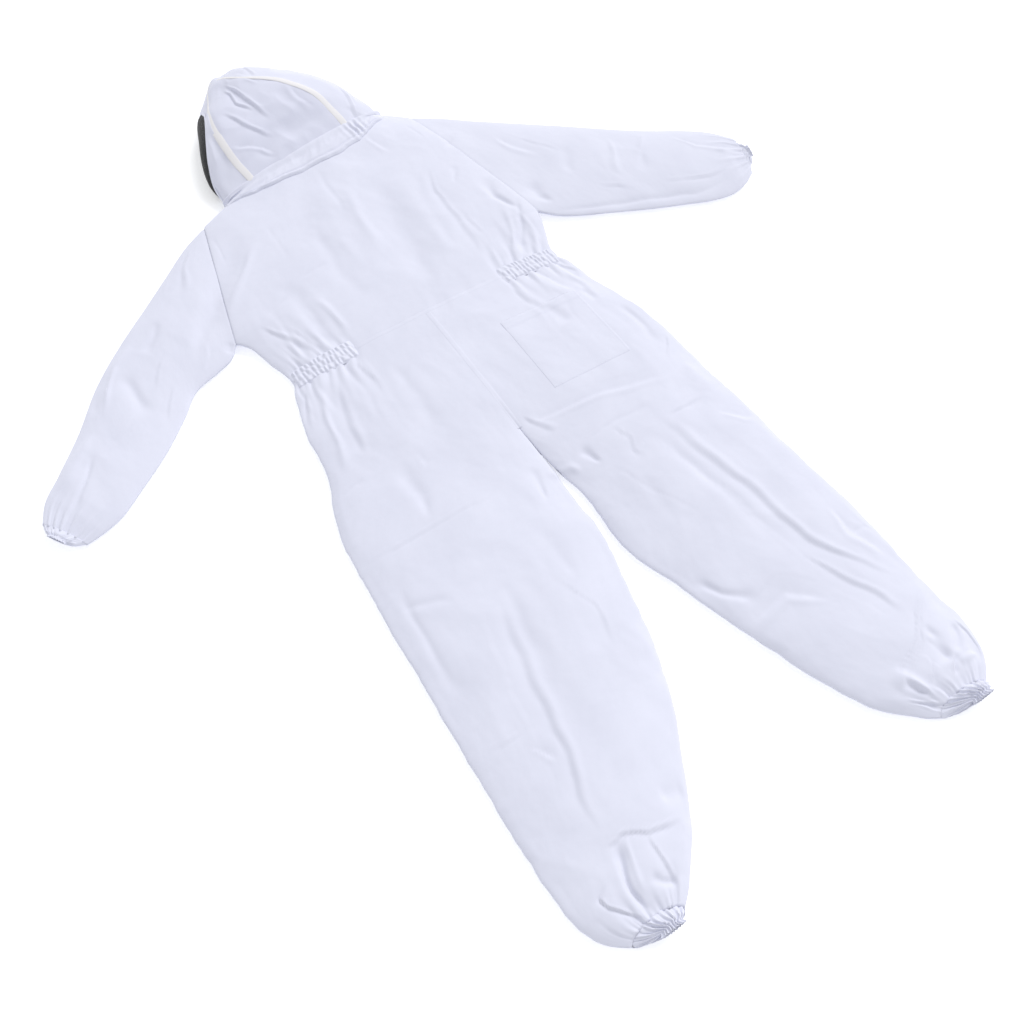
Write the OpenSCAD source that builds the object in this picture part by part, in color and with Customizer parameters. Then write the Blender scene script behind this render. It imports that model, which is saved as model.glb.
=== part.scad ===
// Beekeeping suit: one-piece overall with elasticated waist, wrists and
// ankles, and an attached hood with a net veil. It lies face down and flat,
// sleeves and legs spread. +X is towards the wearer's right hand, +Y towards
// the hood, +Z up. All lengths are in millimetres.

/* [Fabric] */
// Thickness of a panel of cloth with its seam allowances
cloth_t = 1.2; // [1:0.1:1.6]
// Thickness of a zip tape
tape_t = 0.8; // [0.6:0.1:1]

/* [Lie of the suit] */
// Height of the back of the bodice above the surface it lies on
chest_h = 36; // [32:1:42]
// Height of the seat
seat_h = 33; // [30:1:38]
// Height of the thighs and shins
leg_h = 27; // [24:1:30]
// Height of the sleeves
sleeve_h = 24; // [22:1:27]
// Height of the hood at its widest hoop
hood_h = 104; // [92:1:112]
// Height of the collar seam, where the hood begins
neck_h = 38; // [36:1:40]

/* [Openings] */
// Height of a wrist opening inside its elastic
wrist_h = 11; // [9:1:13]
// Height of an ankle opening inside its elastic
ankle_h = 13; // [10:1:15]
// Gap left between two pieces that fold against each other
fold_gap = 1.2; // [0.8:0.1:2]

/* [Zips] */
// Pitch of the teeth
tooth_pitch = 5; // [4:1:6]
// Half of the gap between the two rows of teeth
tooth_gap = 0.9; // [0.8:0.05:1.1]
// Lower face of the slider above the surface the suit lies on
slider_z = 6.2; // [6:0.1:7]
// Length of the long zip down the front
front_zip_len = 825; // [780:5:825]
// Length of a zip pull
pull_len = 30; // [22:1:32]

/* [Hoops] */
// Radius of the springy rod in a hood hoop
rod_r = 1.6; // [1.2:0.1:1.8]
// Outer radius of the casing sewn round it
casing_r = 4; // [3.6:0.1:4.5]

/* [Pocket] */
// Width of the patch pocket on the seat
pocket_w = 165; // [140:5:170]
// Depth of the patch pocket on the seat
pocket_d = 175; // [150:5:180]

/* [Hidden] */

t = cloth_t;
white = [0.92, 0.93, 0.98];
cream = [0.95, 0.93, 0.88];
net = [0.16, 0.16, 0.18];
// The waist seam's middle is the pattern's zero point; the part's origin is
// the middle of its footprint.
shift = [-17.5, 147.9, 0];

// ---- Hand-set pattern of the suit -------------------------------------
// A station cuts a tube of cloth across: [left x, left y, right x, right y,
// back-layer height at left, at right, in the middle, front-layer height at
// left, at right].
e = 9;          // height of a closed side seam
f = e - t - 0.2; // front layer where it meets that seam
body_st = [
  [-278,   0, 278,   0,  e,  e, chest_h - 8, f, f],
  [-291,  52, 293,  52, e + 1, e + 1, chest_h - 4, f + 1, f + 1],
  [-304, 104, 307,  92, e + 5, e + 5, chest_h - 2, f + 5, f + 5],
  [-325, 130, 311, 110, e + 7, e + 7, chest_h - 2, f + 7, f + 7],
  [-314, 174, 302, 160, 20, 20, chest_h - 1, 1, 1],
  [-300, 230, 289, 230, 24, 24, chest_h, 0, 0],
  [-285, 290, 276, 300, 25, 25, chest_h, 0, 0],
  [-270, 350, 262, 380, 24, 24, chest_h, 0, 0],
  [-260, 390, 253, 430, 20, 20, chest_h, 1, 1],
  [-250, 430, 242, 490, 12, 12, chest_h, 10.6, 10.6],
  [-195, 455, 200, 525, 12, 12, neck_h, 9, 9]];

// Trouser stations lie across the suit at one y: [y, outer x, inner x,
// back height outside, inside, middle, front height outside, inside].
left_leg_st = [
  [   -1, -278,  -0.3,  e, chest_h - 8, chest_h - 12, f, 7.8],
  [  -60, -300,  -0.3,  e, seat_h - 3, seat_h - 5, f, 7.8],
  [ -120, -310,  -0.3,  e, seat_h - 1, seat_h - 3, f, 7.8],
  [ -200, -320,  -0.3,  e, seat_h, seat_h - 2, f, 7.8],
  [ -280, -345,  -0.3,  e, seat_h - 2, seat_h - 3, f, 7.8],
  [ -350, -362,  -0.3,  e, seat_h - 9, leg_h + 2, f, 7.8],
  [ -376, -365,  -0.3,  e, 20, leg_h + 1, f, 7.8],
  [ -398, -365,  -0.3,  e, 15, leg_h + 1, f, 7.8],
  [ -420, -367,  -1.5,  e, e + 1, leg_h + 1, f, f + 1],
  [ -480, -370,    -3,  e, e, leg_h + 1, f, f],
  [ -540, -372,    -6,  e, e, leg_h, f, f],
  [ -600, -374,   -20,  e, e, leg_h, f, f],
  [ -670, -377,   -37,  e, e, leg_h, f, f],
  [ -750, -380,   -58, 16, 16, leg_h - 1, 2, 2]];
left_shin_st = [
  [ -750 - fold_gap, -380,   -58, 16, 16, leg_h - 1, 2, 2],
  [ -790, -381,   -71,  e, e, leg_h, f, f],
  [ -855, -382,  -102,  e, e, leg_h, f, f],
  [ -920, -382,  -140,  e, e, leg_h, f, f],
  [ -965, -379,  -167,  e, e, leg_h, f, f],
  [-1005, -373,  -195,  e, e, leg_h - 1, f, f],
  [-1035, -360,  -222,  e, e, leg_h - 4, f, f],
  [-1052, -344,  -246,  e, e, ankle_h + 6, f, f]];
right_leg_st = [
  [   -1,  278,   0.3,  e, chest_h - 8, chest_h - 12, f, 7.8],
  [  -60,  297,   0.3,  e, seat_h - 3, seat_h - 5, f, 7.8],
  [ -120,  316,   0.3,  e, seat_h - 1, seat_h - 3, f, 7.8],
  [ -200,  335,   0.3,  e, seat_h, seat_h - 2, f, 7.8],
  [ -280,  341,   0.3,  e, seat_h - 2, seat_h - 3, f, 7.8],
  [ -350,  343,   0.3,  e, seat_h - 9, leg_h + 2, f, 7.8],
  [ -376,  345,   0.3,  e, 20, leg_h + 1, f, 7.8],
  [ -398,  345,   0.3,  e, 15, leg_h + 1, f, 7.8],
  [ -420,  347,   1.5,  e, e + 1, leg_h + 1, f, f + 1],
  [ -480,  351,     4,  e, e, leg_h + 1, f, f],
  [ -540,  354,     8,  e, e, leg_h, f, f],
  [ -600,  357,    14,  e, e, leg_h, f, f],
  [ -670,  361,    35,  e, e, leg_h, f, f],
  [ -750,  363,    60, 16, 16, leg_h - 1, 2, 2]];
right_shin_st = [
  [ -750 - fold_gap,  363,    60, 16, 16, leg_h - 1, 2, 2],
  [ -800,  363,    74,  e, e, leg_h, f, f],
  [ -855,  361,    92,  e, e, leg_h, f, f],
  [ -910,  359,   112,  e, e, leg_h, f, f],
  [ -960,  361,   134,  e, e, leg_h, f, f],
  [-1005,  352,   164,  e, e, leg_h - 1, f, f],
  [-1038,  332,   202,  e, e, leg_h - 4, f, f],
  [-1052,  318,   222,  e, e, ankle_h + 6, f, f]];

// Sleeve stations: [upper-edge x, y, under-edge x, y, height of the upper
// edge, of the under edge, of the middle].
left_arm_st = [
  [-251.2,  430.3, -326.2,  130.3, 11, 15, sleeve_h],
  [-320,  392, -362,   97,  e,  e, sleeve_h],
  [-400,  328, -412,   82,  e,  e, sleeve_h],
  [-480,  262, -460,   42,  e,  e, sleeve_h],
  [-560,  190, -520,   -8,  e,  e, sleeve_h],
  [-625,  115, -580,  -45,  e,  e, sleeve_h],
  [-690,   42, -640,  -82,  e,  e, sleeve_h],
  [-728,    0, -676, -100,  e,  e, sleeve_h - 2],
  [-742,  -35, -698, -103,  e,  e, wrist_h + 6]];
right_arm_st = [
  [243.2,  490.2, 312.2,  110.2, 11, 15, sleeve_h],
  [310,  448, 362,   69,  e,  e, sleeve_h],
  [400,  375, 430,   37,  e,  e, sleeve_h],
  [500,  295, 500,    2,  e,  e, sleeve_h],
  [600,  215, 570,  -28,  e,  e, sleeve_h],
  [660,  172, 635,  -52,  e,  e, sleeve_h],
  [720,  128, 682,  -55,  e,  e, sleeve_h],
  [762,   86, 715,  -44,  e,  e, sleeve_h - 2],
  [776,   52, 738,  -28,  e,  e, wrist_h + 6]];

// Hood stations: [distance from the neck seam, half width, height].
hood_st = [
  [  0, 192, neck_h + 1],
  [ 40, 192, hood_h - 42],
  [ 80, 183, hood_h - 16],
  [120, 165, hood_h - 3],
  [160, 142, hood_h],
  [200, 118, hood_h - 5],
  [235,  88, hood_h - 16],
  [262,  56, hood_h - 30],
  [278,  32, hood_h - 44],
  [287,  12, hood_h - 58]];
hood_turn = 10.05;             // the neck seam's slope
hood_at = [2.5, 490, 0];       // its middle
zb = 15;                       // height of the veil's edge

// ---- Geometry ---------------------------------------------------------
function mix(a, b, u) = a + (b - a) * u;
function lens(s) = 1 - pow(abs(2 * s - 1), 3);
function rise(s) = pow(max(0, (abs(2 * s - 1) - 0.4) / 0.6), 3);
function cosine(k, n) = (1 - cos(180 * k / n)) / 2;

// A closed solid between two grids of points with the same rows and columns
module slab(lo, hi) {
  m = len(lo);
  n = len(lo[0]);
  q = m * n;
  polyhedron(
    points = concat([for (r = lo) each r], [for (r = hi) each r]),
    faces = concat(
      [for (i = [0:m - 2], j = [0:n - 2]) each [
        [i * n + j, i * n + j + 1, (i + 1) * n + j + 1],
        [i * n + j, (i + 1) * n + j + 1, (i + 1) * n + j],
        [q + i * n + j, q + (i + 1) * n + j + 1, q + i * n + j + 1],
        [q + i * n + j, q + (i + 1) * n + j, q + (i + 1) * n + j + 1]]],
      [for (i = [0:m - 2]) each [
        [i * n, (i + 1) * n, q + (i + 1) * n], [i * n, q + (i + 1) * n, q + i * n],
        [i * n + n - 1, q + (i + 1) * n + n - 1, (i + 1) * n + n - 1],
        [i * n + n - 1, q + i * n + n - 1, q + (i + 1) * n + n - 1]]],
      [for (j = [0:n - 2]) each [
        [j, q + j + 1, j + 1], [j, q + j, q + j + 1],
        [(m - 1) * n + j, (m - 1) * n + j + 1, q + (m - 1) * n + j + 1],
        [(m - 1) * n + j, q + (m - 1) * n + j + 1, q + (m - 1) * n + j]]]));
}

// A closed tube between an inner and an outer stack of rings
module sleeve_of(inner, outer) {
  m = len(inner);
  n = len(inner[0]);
  q = m * n;
  polyhedron(
    points = concat([for (r = inner) each r], [for (r = outer) each r]),
    faces = concat(
      [for (i = [0:m - 2], j = [0:n - 1]) let (k = (j + 1) % n) each [
        [i * n + j, (i + 1) * n + k, i * n + k], [i * n + j, (i + 1) * n + j, (i + 1) * n + k],
        [q + i * n + j, q + i * n + k, q + (i + 1) * n + k],
        [q + i * n + j, q + (i + 1) * n + k, q + (i + 1) * n + j]]],
      [for (j = [0:n - 1]) let (k = (j + 1) % n, b = (m - 1) * n) each [
        [j, k, q + k], [j, q + k, q + j],
        [b + j, q + b + k, b + k], [b + j, q + b + j, q + b + k]]]));
}

// Back layer of a station at s = 0 (left) to 1 (right), lifted by dz
function back_pt(st, s, dz) = let (z = mix(st[4], st[5], s))
  [mix(st[0], st[2], s), mix(st[1], st[3], s), mix(z, st[6], lens(s)) + dz];
// Front layer between two x positions, whose edge heights are za and zc
function front_pt(st, s, xa, xc, za, zc, zm, dz) =
  let (x = mix(xa, xc, s), u = (x - st[0]) / (st[2] - st[0]))
  [x, mix(st[1], st[3], u), mix(zm, mix(za, zc, s), rise(s)) + dz];
// Trouser layers; a station runs from its outer to its inner edge
function leg_back(st, s, dz) =
  [mix(st[1], st[2], s), st[0], mix(mix(st[3], st[4], s), st[5], lens(s)) + dz];
function leg_front(st, s, dz) = let (inner = st[0] > -380 ? sign(st[1]) * 7 : st[2])
  [mix(st[1], inner, s), st[0], mix(st[6], st[7], s) * rise(s) + dz];
function flip(g, on) = on ? [for (r = g) [for (k = [len(r) - 1:-1:0]) r[k]]] : g;

// Stations between two list positions, both included
function some(l, a, b) = [for (k = [a:b]) l[k]];
// A trouser station at any y, by straight interpolation
function leg_row(l, y) = let (k = max([for (i = [0:len(l) - 2]) y <= l[i][0] ? i : 0]),
  u = (y - l[k][0]) / (l[k + 1][0] - l[k][0])) [for (c = [0:len(l[0]) - 1]) mix(l[k][c], l[k + 1][c], u)];

module placed() { translate(shift) children(); }

module leg_sheet(sts, n, front, dz = 0, th = t) {
  // Rows run towards the ankle, so the right leg is flipped to face outwards
  on = sts[0][1] < 0;
  lo = [for (st = sts) [for (k = [0:n]) front ? leg_front(st, cosine(k, n), dz) : leg_back(st, cosine(k, n), dz)]];
  hi = [for (st = sts) [for (k = [0:n]) front ? leg_front(st, cosine(k, n), dz + th) : leg_back(st, cosine(k, n), dz + th)]];
  slab(flip(lo, on), flip(hi, on));
}

// ---- Bodice -----------------------------------------------------------
module back_bodice() {
  color(white) placed()
    slab([for (st = body_st) [for (k = [0:16]) back_pt(st, cosine(k, 16), 0)]],
         [for (st = body_st) [for (k = [0:16]) back_pt(st, cosine(k, 16), t)]]);
}
// The front's neck edge stops short of the seam to leave room for the zip
function front_st() = [for (i = [0:len(body_st) - 1]) i < len(body_st) - 1 ? body_st[i] :
  [-194, 448.5, 201, 518.5, 12, 12, neck_h, 9, 9]];
module front_bodice(side) {
  n = 12;
  s = front_st();
  function zm(i) = i == len(s) - 1 ? 7.8 : 0;
  function pt(i, u, dz) = side < 0 ? front_pt(s[i], u, s[i][0], -7, s[i][7], 7.8, zm(i), dz)
                                  : front_pt(s[i], u, 7, s[i][2], 7.8, s[i][8], zm(i), dz);
  color(white) placed()
    slab([for (i = [0:len(s) - 1]) [for (k = [0:n]) pt(i, cosine(k, n), 0)]],
         [for (i = [0:len(s) - 1]) [for (k = [0:n]) pt(i, cosine(k, n), t)]]);
}
module front_bodice_left() { front_bodice(-1); }
module front_bodice_right() { front_bodice(1); }

// ---- Trousers to the knee ----------------------------------------------
module trouser_back_left() { color(white) placed() leg_sheet(left_leg_st, 12, false); }
module trouser_back_right() { color(white) placed() leg_sheet(right_leg_st, 12, false); }
module trouser_front_left() { color(white) placed() leg_sheet(left_leg_st, 12, true); }
module trouser_front_right() { color(white) placed() leg_sheet(right_leg_st, 12, true); }

// ---- Waist, pocket and collar -------------------------------------------
// Height of the back's upper face at the waist: bodice above it, trousers below
function over_bodice(x, y) = let (a = body_st[0], b = body_st[1], st = [for (c = [0:9]) mix(a[c], b[c], y / 52)])
  back_pt(st, (x - st[0]) / (st[2] - st[0]), t)[2];
function over_seat(x, y) = let (st = leg_row(x < 0 ? left_leg_st : right_leg_st, y))
  leg_back(st, (x - st[1]) / (st[2] - st[1]), t)[2];
// A strip laid across the back at the waist, from xa to xc
module waist_strip(xa, xc, half, lift, th, n) {
  function p(k, y, dz) = let (x = mix(xa, xc, k / n),
    z = y < 0 ? over_seat(x, y) : y > 0 ? over_bodice(x, y) : max(over_bodice(x, 0), over_seat(x, -1))) [x, y, z + dz];
  slab([for (y = [-half, 0, half]) [for (k = [0:n]) p(k, y, lift)]],
       [for (y = [-half, 0, half]) [for (k = [0:n]) p(k, y, lift + th)]]);
}
module waist_seam_band() { color(white) placed() waist_strip(-152, 152, 7, 1.4, 1, 10); }
module waist_elastic_left() { color(white) placed() waist_strip(-266, -157, 19, 1.8, 1.6, 10); }
module waist_elastic_right() { color(white) placed() waist_strip(157, 266, 19, 1.8, 1.6, 10); }
module seat_pocket() {
  x0 = 85;
  y0 = -100;
  n = 10;
  function p(x, y, dz) = let (st = leg_row(right_leg_st, y)) leg_back(st, (x - st[1]) / (st[2] - st[1]), dz);
  color(white) placed()
    slab([for (i = [8:-1:0]) [for (k = [0:n]) p(x0 + pocket_w * k / n, y0 - pocket_d * i / 8, t + 0.9)]],
         [for (i = [8:-1:0]) [for (k = [0:n]) p(x0 + pocket_w * k / n, y0 - pocket_d * i / 8, t + 1.9)]]);
}
// The collar: a ruched roll of cloth along the back of the neck seam
module collar_band() {
  n = 16;
  function p(k, r, dz) = let (st = [for (c = [0:9]) mix(body_st[10][c], body_st[9][c], r)]) back_pt(st, mix(0.08, 0.92, k / n), dz);
  rs = [0.96, 0.73, 0.5, 0.27, 0.04];
  color(white) placed()
    slab([for (r = rs) [for (k = [0:n]) p(k, r, t + 1)]],
         [for (r = rs) [for (k = [0:n]) p(k, r, t + 1.8 + 4 * sin(180 * r))]]);
}

// ---- Zips ---------------------------------------------------------------
// A zip lies along +Y from y = 0, teeth towards x = 0; side is -1 or 1
tooth_z = slider_z + 1.8;
module zip_tape(len, side, wide = 16) {
  translate([side < 0 ? -wide : 3.1, 0, tooth_z + 1.1]) cube([wide - 3.1, len, tape_t]);
}
module zip_teeth(len, side) {
  n = floor(len / tooth_pitch) - 1;
  p = tooth_pitch;
  pts = concat([[3, 0], [3, len]],
    [for (i = [n:-1:0]) each [[1.9, i * p + p - 0.6], [tooth_gap, i * p + p - 1], [tooth_gap, i * p + p / 2 - 0.4], [1.9, i * p + p / 2 - 0.8]]],
    [[1.9, 0]]);
  translate([0, 0, tooth_z]) linear_extrude(2.6)
    polygon(side > 0 ? pts : [for (q = pts) [-q[0], q[1]]]);
}
// The slider's two plates, its web and the lugs that hold the pull's pin;
// it stands over y = 0 and the pull leads towards -Y
module slider() {
  translate([-5.8, -6, slider_z]) cube([11.6, 12, 1.4]);
  translate([-5.8, -6, slider_z + 4.8]) cube([11.6, 12, 1.4]);
  translate([-0.5, 0.5, slider_z + 1]) cube([1, 5, 4.2]);
  for (s = [-1, 1]) translate([s * 3.2 - 0.6, -2.2, slider_z - 4]) cube([1.2, 4.4, 4.2]);
  translate([-3.2, 0, slider_z - 2.5]) rotate([0, 90, 0]) cylinder(h = 6.4, r = 0.8, $fn = 32);
}
module pull() {
  difference() {
    union() {
      translate([-2.2, 0, slider_z - 2.5]) rotate([0, 90, 0]) cylinder(h = 4.4, r = 1.9, $fn = 32);
      translate([-2.2, -pull_len, slider_z - 3.2]) cube([4.4, pull_len, 1.4]);
      translate([-3.8, -pull_len, slider_z - 3.2]) cube([7.6, pull_len - 9, 1.4]);
    }
    translate([-5, 0, slider_z - 2.5]) rotate([0, 90, 0]) cylinder(h = 10, r = 1.2, $fn = 32);
    translate([0, -pull_len + 5, slider_z - 5]) cylinder(h = 6, r = 1.8, $fn = 32);
  }
}
front_top = 462;
module in_front_zip() { placed() translate([0, front_top - front_zip_len, 0]) children(); }
module front_zip_tape_left() { color("white") in_front_zip() zip_tape(front_zip_len, -1); }
module front_zip_tape_right() { color("white") in_front_zip() zip_tape(front_zip_len, 1); }
module front_zip_teeth_left() { color("gainsboro") in_front_zip() zip_teeth(front_zip_len, -1); }
module front_zip_teeth_right() { color("gainsboro") in_front_zip() zip_teeth(front_zip_len, 1); }
module front_zip_bottom_stop() {
  color("gainsboro") in_front_zip() translate([-4, -6, tooth_z - 0.4]) cube([8, 5.8, 3.4]);
}
module front_zip_top_stops() {
  color("gainsboro") in_front_zip() for (s = [-1, 1])
    translate([s * 2.6 - 1.4, front_zip_len + 0.1, tooth_z - 0.2]) cube([2.8, 3, 3]);
}
module front_zip_slider() { color("gainsboro") placed() translate([0, front_top - 8, 0]) slider(); }
module front_zip_pull() { color("gainsboro") placed() translate([0, front_top - 8, 0]) pull(); }

// The neck zip follows the neck seam. Along it, +Y of the zip runs towards
// the wearer's left or right from the throat.
neck_half = 150;
module in_hood() { placed() translate(hood_at) rotate([0, 0, hood_turn]) children(); }
module along_neck() { in_hood() translate([neck_half, 0, 0]) rotate([0, 0, 90]) children(); }
module neck_zip_tape_lower() { color("white") along_neck() zip_tape(2 * neck_half, -1, 14); }
module neck_zip_teeth_lower() { color("gainsboro") along_neck() zip_teeth(2 * neck_half, -1); }
module neck_zip_tape_upper() { color("white") along_neck() zip_tape(2 * neck_half, 1, 14); }
module neck_zip_teeth_upper() { color("gainsboro") along_neck() zip_teeth(2 * neck_half, 1); }
module at_throat(side) { in_hood() translate([side * 14, 0, 0]) rotate([0, 0, side * 90]) children(); }
module neck_zip_slider_left() { color("gainsboro") at_throat(-1) slider(); }
module neck_zip_slider_right() { color("gainsboro") at_throat(1) slider(); }
module neck_zip_pull_left() { color("gainsboro") at_throat(-1) pull(); }
module neck_zip_pull_right() { color("gainsboro") at_throat(1) pull(); }

// ---- Hood ---------------------------------------------------------------
function hood_row(v) = let (k = max([for (i = [0:len(hood_st) - 2]) v >= hood_st[i][0] ? i : 0]),
  u = (v - hood_st[k][0]) / (hood_st[k + 1][0] - hood_st[k][0])) [for (c = [0:2]) mix(hood_st[k][c], hood_st[k + 1][c], u)];
// A point of the dome at angle a round it, moved inwards by d
function dome(v, a, d) = let (r = hood_row(v))
  [-(r[1] - d) * cos(a), v, zb + (r[2] + t - d - zb) * pow(max(0, sin(a)), 0.8)];
// A point of the face side, from left (s = 0) to right (s = 1)
function face(v, s, dz, mid = 0) = let (r = hood_row(v))
  [mix(-r[1], r[1], s), v, mix(mid, zb - t - 0.8, rise(s)) + dz];
base_v = fold_gap;
hood_v = [base_v, 20, 40, 80, 120, 160, 200, 234];
module dome_panel(vs, a0, a1, n, th = t) {
  color(white) in_hood()
    slab([for (v = vs) [for (k = [0:n]) dome(v, mix(a0, a1, k / n), th)]],
         [for (v = vs) [for (k = [0:n]) dome(v, mix(a0, a1, k / n), 0)]]);
}
module face_panel(vs, mids, n, th) {
  slab([for (i = [0:len(vs) - 1]) [for (k = [0:n]) face(vs[i], cosine(k, n), 0, mids[i])]],
       [for (i = [0:len(vs) - 1]) [for (k = [0:n]) face(vs[i], cosine(k, n), th, mids[i])]]);
}
module hood_back_panel() { dome_panel(hood_v, 50, 130, 10); }
module hood_side_left() { dome_panel(hood_v, 0, 50, 6); }
module hood_side_right() { dome_panel(hood_v, 130, 180, 6); }
module hood_crown_panel() { dome_panel([234.3, 248, 262, 270, 278, 286], 0, 180, 14); }
module veil_chin_band() { color(white) in_hood() face_panel([6.5, 14, 30], [5.6, 3, 0], 12, t); }
module veil_mesh() { color(net) in_hood() face_panel([30.3, 55, 90, 120, 160, 200, 225, 246], [0, 0, 0, 0, 0, 0, 0, 0], 12, 0.8); }
module veil_brow_band() { color(white) in_hood() face_panel([246.3, 262, 275, 286], [0, 0, 0, 0], 10, t); }

// A round tube of n sides along a route of points
function unit(v) = v / norm(v);
function ring(p, a, b, r, n) = let (d = unit(b - a), s = unit(cross(d, [0, 0, 1])), u = cross(s, d))
  [for (k = [0:n - 1]) p + r * (s * cos(360 * (k + 0.5) / n) + u * sin(360 * (k + 0.5) / n))];
function rings(path, r, n) = [for (i = [0:len(path) - 1])
  ring(path[i], path[max(0, i - 1)], path[min(len(path) - 1, i + 1)], r, n)];
module tube(path, r_in, r_out, n = 8) { sleeve_of(rings(path, r_in, n), rings(path, r_out, n)); }
module rod(path, r, n = 8) {
  g = rings(path, r, n);
  m = len(g);
  polyhedron(points = [for (q = g) each q], faces = concat(
    [[for (k = [n - 1:-1:0]) k]],
    [for (i = [0:m - 2], j = [0:n - 1]) let (k = (j + 1) % n) each [
      [i * n + j, i * n + k, (i + 1) * n + k], [i * n + j, (i + 1) * n + k, (i + 1) * n + j]]],
    [[for (k = [0:n - 1]) (m - 1) * n + k]]));
}
rear_v = [12, 40, 80, 120, 160, 200, 232];
rear_over = casing_r + 1;
rear_half = [for (v = rear_v) dome(v, 52, -rear_over)];
rear_path = concat(rear_half, [for (q = [[250, 60], [258, 74], [260, 90], [258, 106], [250, 120]]) dome(q[0], q[1], -rear_over)],
  [for (k = [len(rear_half) - 1:-1:0]) [-rear_half[k][0], rear_half[k][1], rear_half[k][2]]]);
veil_half = concat([for (v = [12, 40, 80, 120, 160, 200, 228]) [-hood_row(v)[1] + 11, v, zb + 8]], [[-66, 242, zb + 9], [-40, 251, zb + 10]]);
veil_path = concat(veil_half, [[0, 253, zb + 10]], [for (k = [len(veil_half) - 1:-1:0]) [-veil_half[k][0], veil_half[k][1], veil_half[k][2]]]);
module rear_hoop_casing() { color(cream) in_hood() tube(rear_path, rod_r + 0.6, casing_r); }
module rear_hoop_rod() { color("silver") in_hood() rod(rear_path, rod_r); }
module veil_hoop_casing() { color(cream) in_hood() tube(veil_path, rod_r + 0.6, casing_r); }
module veil_hoop_rod() { color("silver") in_hood() rod(veil_path, rod_r); }

// ---- Sleeves --------------------------------------------------------------
// One ring of a flattened tube, moved inwards by d
function flat_ring(st, d, n = 16) = let (p = [st[0], st[1]], q = [st[2], st[3]], g = unit(q - p) * d * 2.5, h = n / 2)
  [for (k = [0:n - 1]) let (s = cosine(k <= h ? k : n - k, h), z = mix(st[4], st[5], s), c = mix(p + g, q - g, s))
    [c[0], c[1], k <= h ? mix(z, st[6] + t - d, lens(s)) : mix(d, z, rise(s))]];
function turned(rs, on) = on ? [for (r = rs) [for (k = [len(r) - 1:-1:0]) r[k]]] : rs;
module flat_tube(sts, d_out, d_in, mirrored) {
  sleeve_of(turned([for (st = sts) flat_ring(st, d_in)], mirrored), turned([for (st = sts) flat_ring(st, d_out)], mirrored));
}
left_wrist_st = [
  [-742.3, -36, -699, -103.6, e, e, wrist_h + 6],
  [-748, -52, -712, -107, e, e, wrist_h + 5],
  [-750, -64, -721, -109, e, e, wrist_h + 5]];
right_wrist_st = [
  [776.3, 51, 738.6, -28.6, e, e, wrist_h + 6],
  [783, 36, 753, -27, e, e, wrist_h + 5],
  [785, 25, 761, -24, e, e, wrist_h + 5]];
module left_sleeve() { color(white) placed() flat_tube(left_arm_st, 0, t, false); }
module right_sleeve() { color(white) placed() flat_tube(right_arm_st, 0, t, true); }
module left_cuff_casing() { color(white) placed() flat_tube(left_wrist_st, 0, t, false); }
module right_cuff_casing() { color(white) placed() flat_tube(right_wrist_st, 0, t, true); }
module left_wrist_elastic() { color(cream) placed() flat_tube(left_wrist_st, t + 0.3, t + 1.3, false); }
module right_wrist_elastic() { color(cream) placed() flat_tube(right_wrist_st, t + 0.3, t + 1.3, true); }

// ---- Shins ------------------------------------------------------------------
left_hem_st = [
  [-343, -1052.4, -247, -1052.4, e, e, ankle_h + 6],
  [-334, -1062, -260, -1062, e, e, ankle_h + 5],
  [-326, -1070, -270, -1070, e, e, ankle_h + 5]];
right_hem_st = [
  [223, -1052.4, 317, -1052.4, e, e, ankle_h + 6],
  [236, -1062, 304, -1062, e, e, ankle_h + 5],
  [246, -1070, 294, -1070, e, e, ankle_h + 5]];
module left_shin_back() { color(white) placed() leg_sheet(left_shin_st, 12, false); }
module left_shin_front() { color(white) placed() leg_sheet(left_shin_st, 12, true); }
module right_shin_back() { color(white) placed() leg_sheet(right_shin_st, 12, false); }
module right_shin_front() { color(white) placed() leg_sheet(right_shin_st, 12, true); }
module left_hem_casing() { color(white) placed() flat_tube(left_hem_st, 0, t, false); }
module right_hem_casing() { color(white) placed() flat_tube(right_hem_st, 0, t, false); }
module left_ankle_elastic() { color(cream) placed() flat_tube(left_hem_st, t + 0.3, t + 1.3, false); }
module right_ankle_elastic() { color(cream) placed() flat_tube(right_hem_st, t + 0.3, t + 1.3, false); }

back_bodice();
front_bodice_left();
front_bodice_right();
trouser_back_left();
trouser_back_right();
trouser_front_left();
trouser_front_right();
waist_seam_band();
waist_elastic_left();
waist_elastic_right();
seat_pocket();
collar_band();
front_zip_tape_left();
front_zip_tape_right();
front_zip_teeth_left();
front_zip_teeth_right();
front_zip_bottom_stop();
front_zip_top_stops();
neck_zip_tape_lower();
neck_zip_teeth_lower();
front_zip_slider();
front_zip_pull();
neck_zip_slider_left();
neck_zip_pull_left();
neck_zip_slider_right();
neck_zip_pull_right();
hood_back_panel();
hood_side_left();
hood_side_right();
hood_crown_panel();
rear_hoop_casing();
rear_hoop_rod();
veil_hoop_casing();
veil_hoop_rod();
veil_mesh();
veil_chin_band();
veil_brow_band();
neck_zip_tape_upper();
neck_zip_teeth_upper();
left_sleeve();
left_cuff_casing();
left_wrist_elastic();
right_sleeve();
right_cuff_casing();
right_wrist_elastic();
left_shin_back();
left_shin_front();
left_hem_casing();
left_ankle_elastic();
right_shin_back();
right_shin_front();
right_hem_casing();
right_ankle_elastic();
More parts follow.
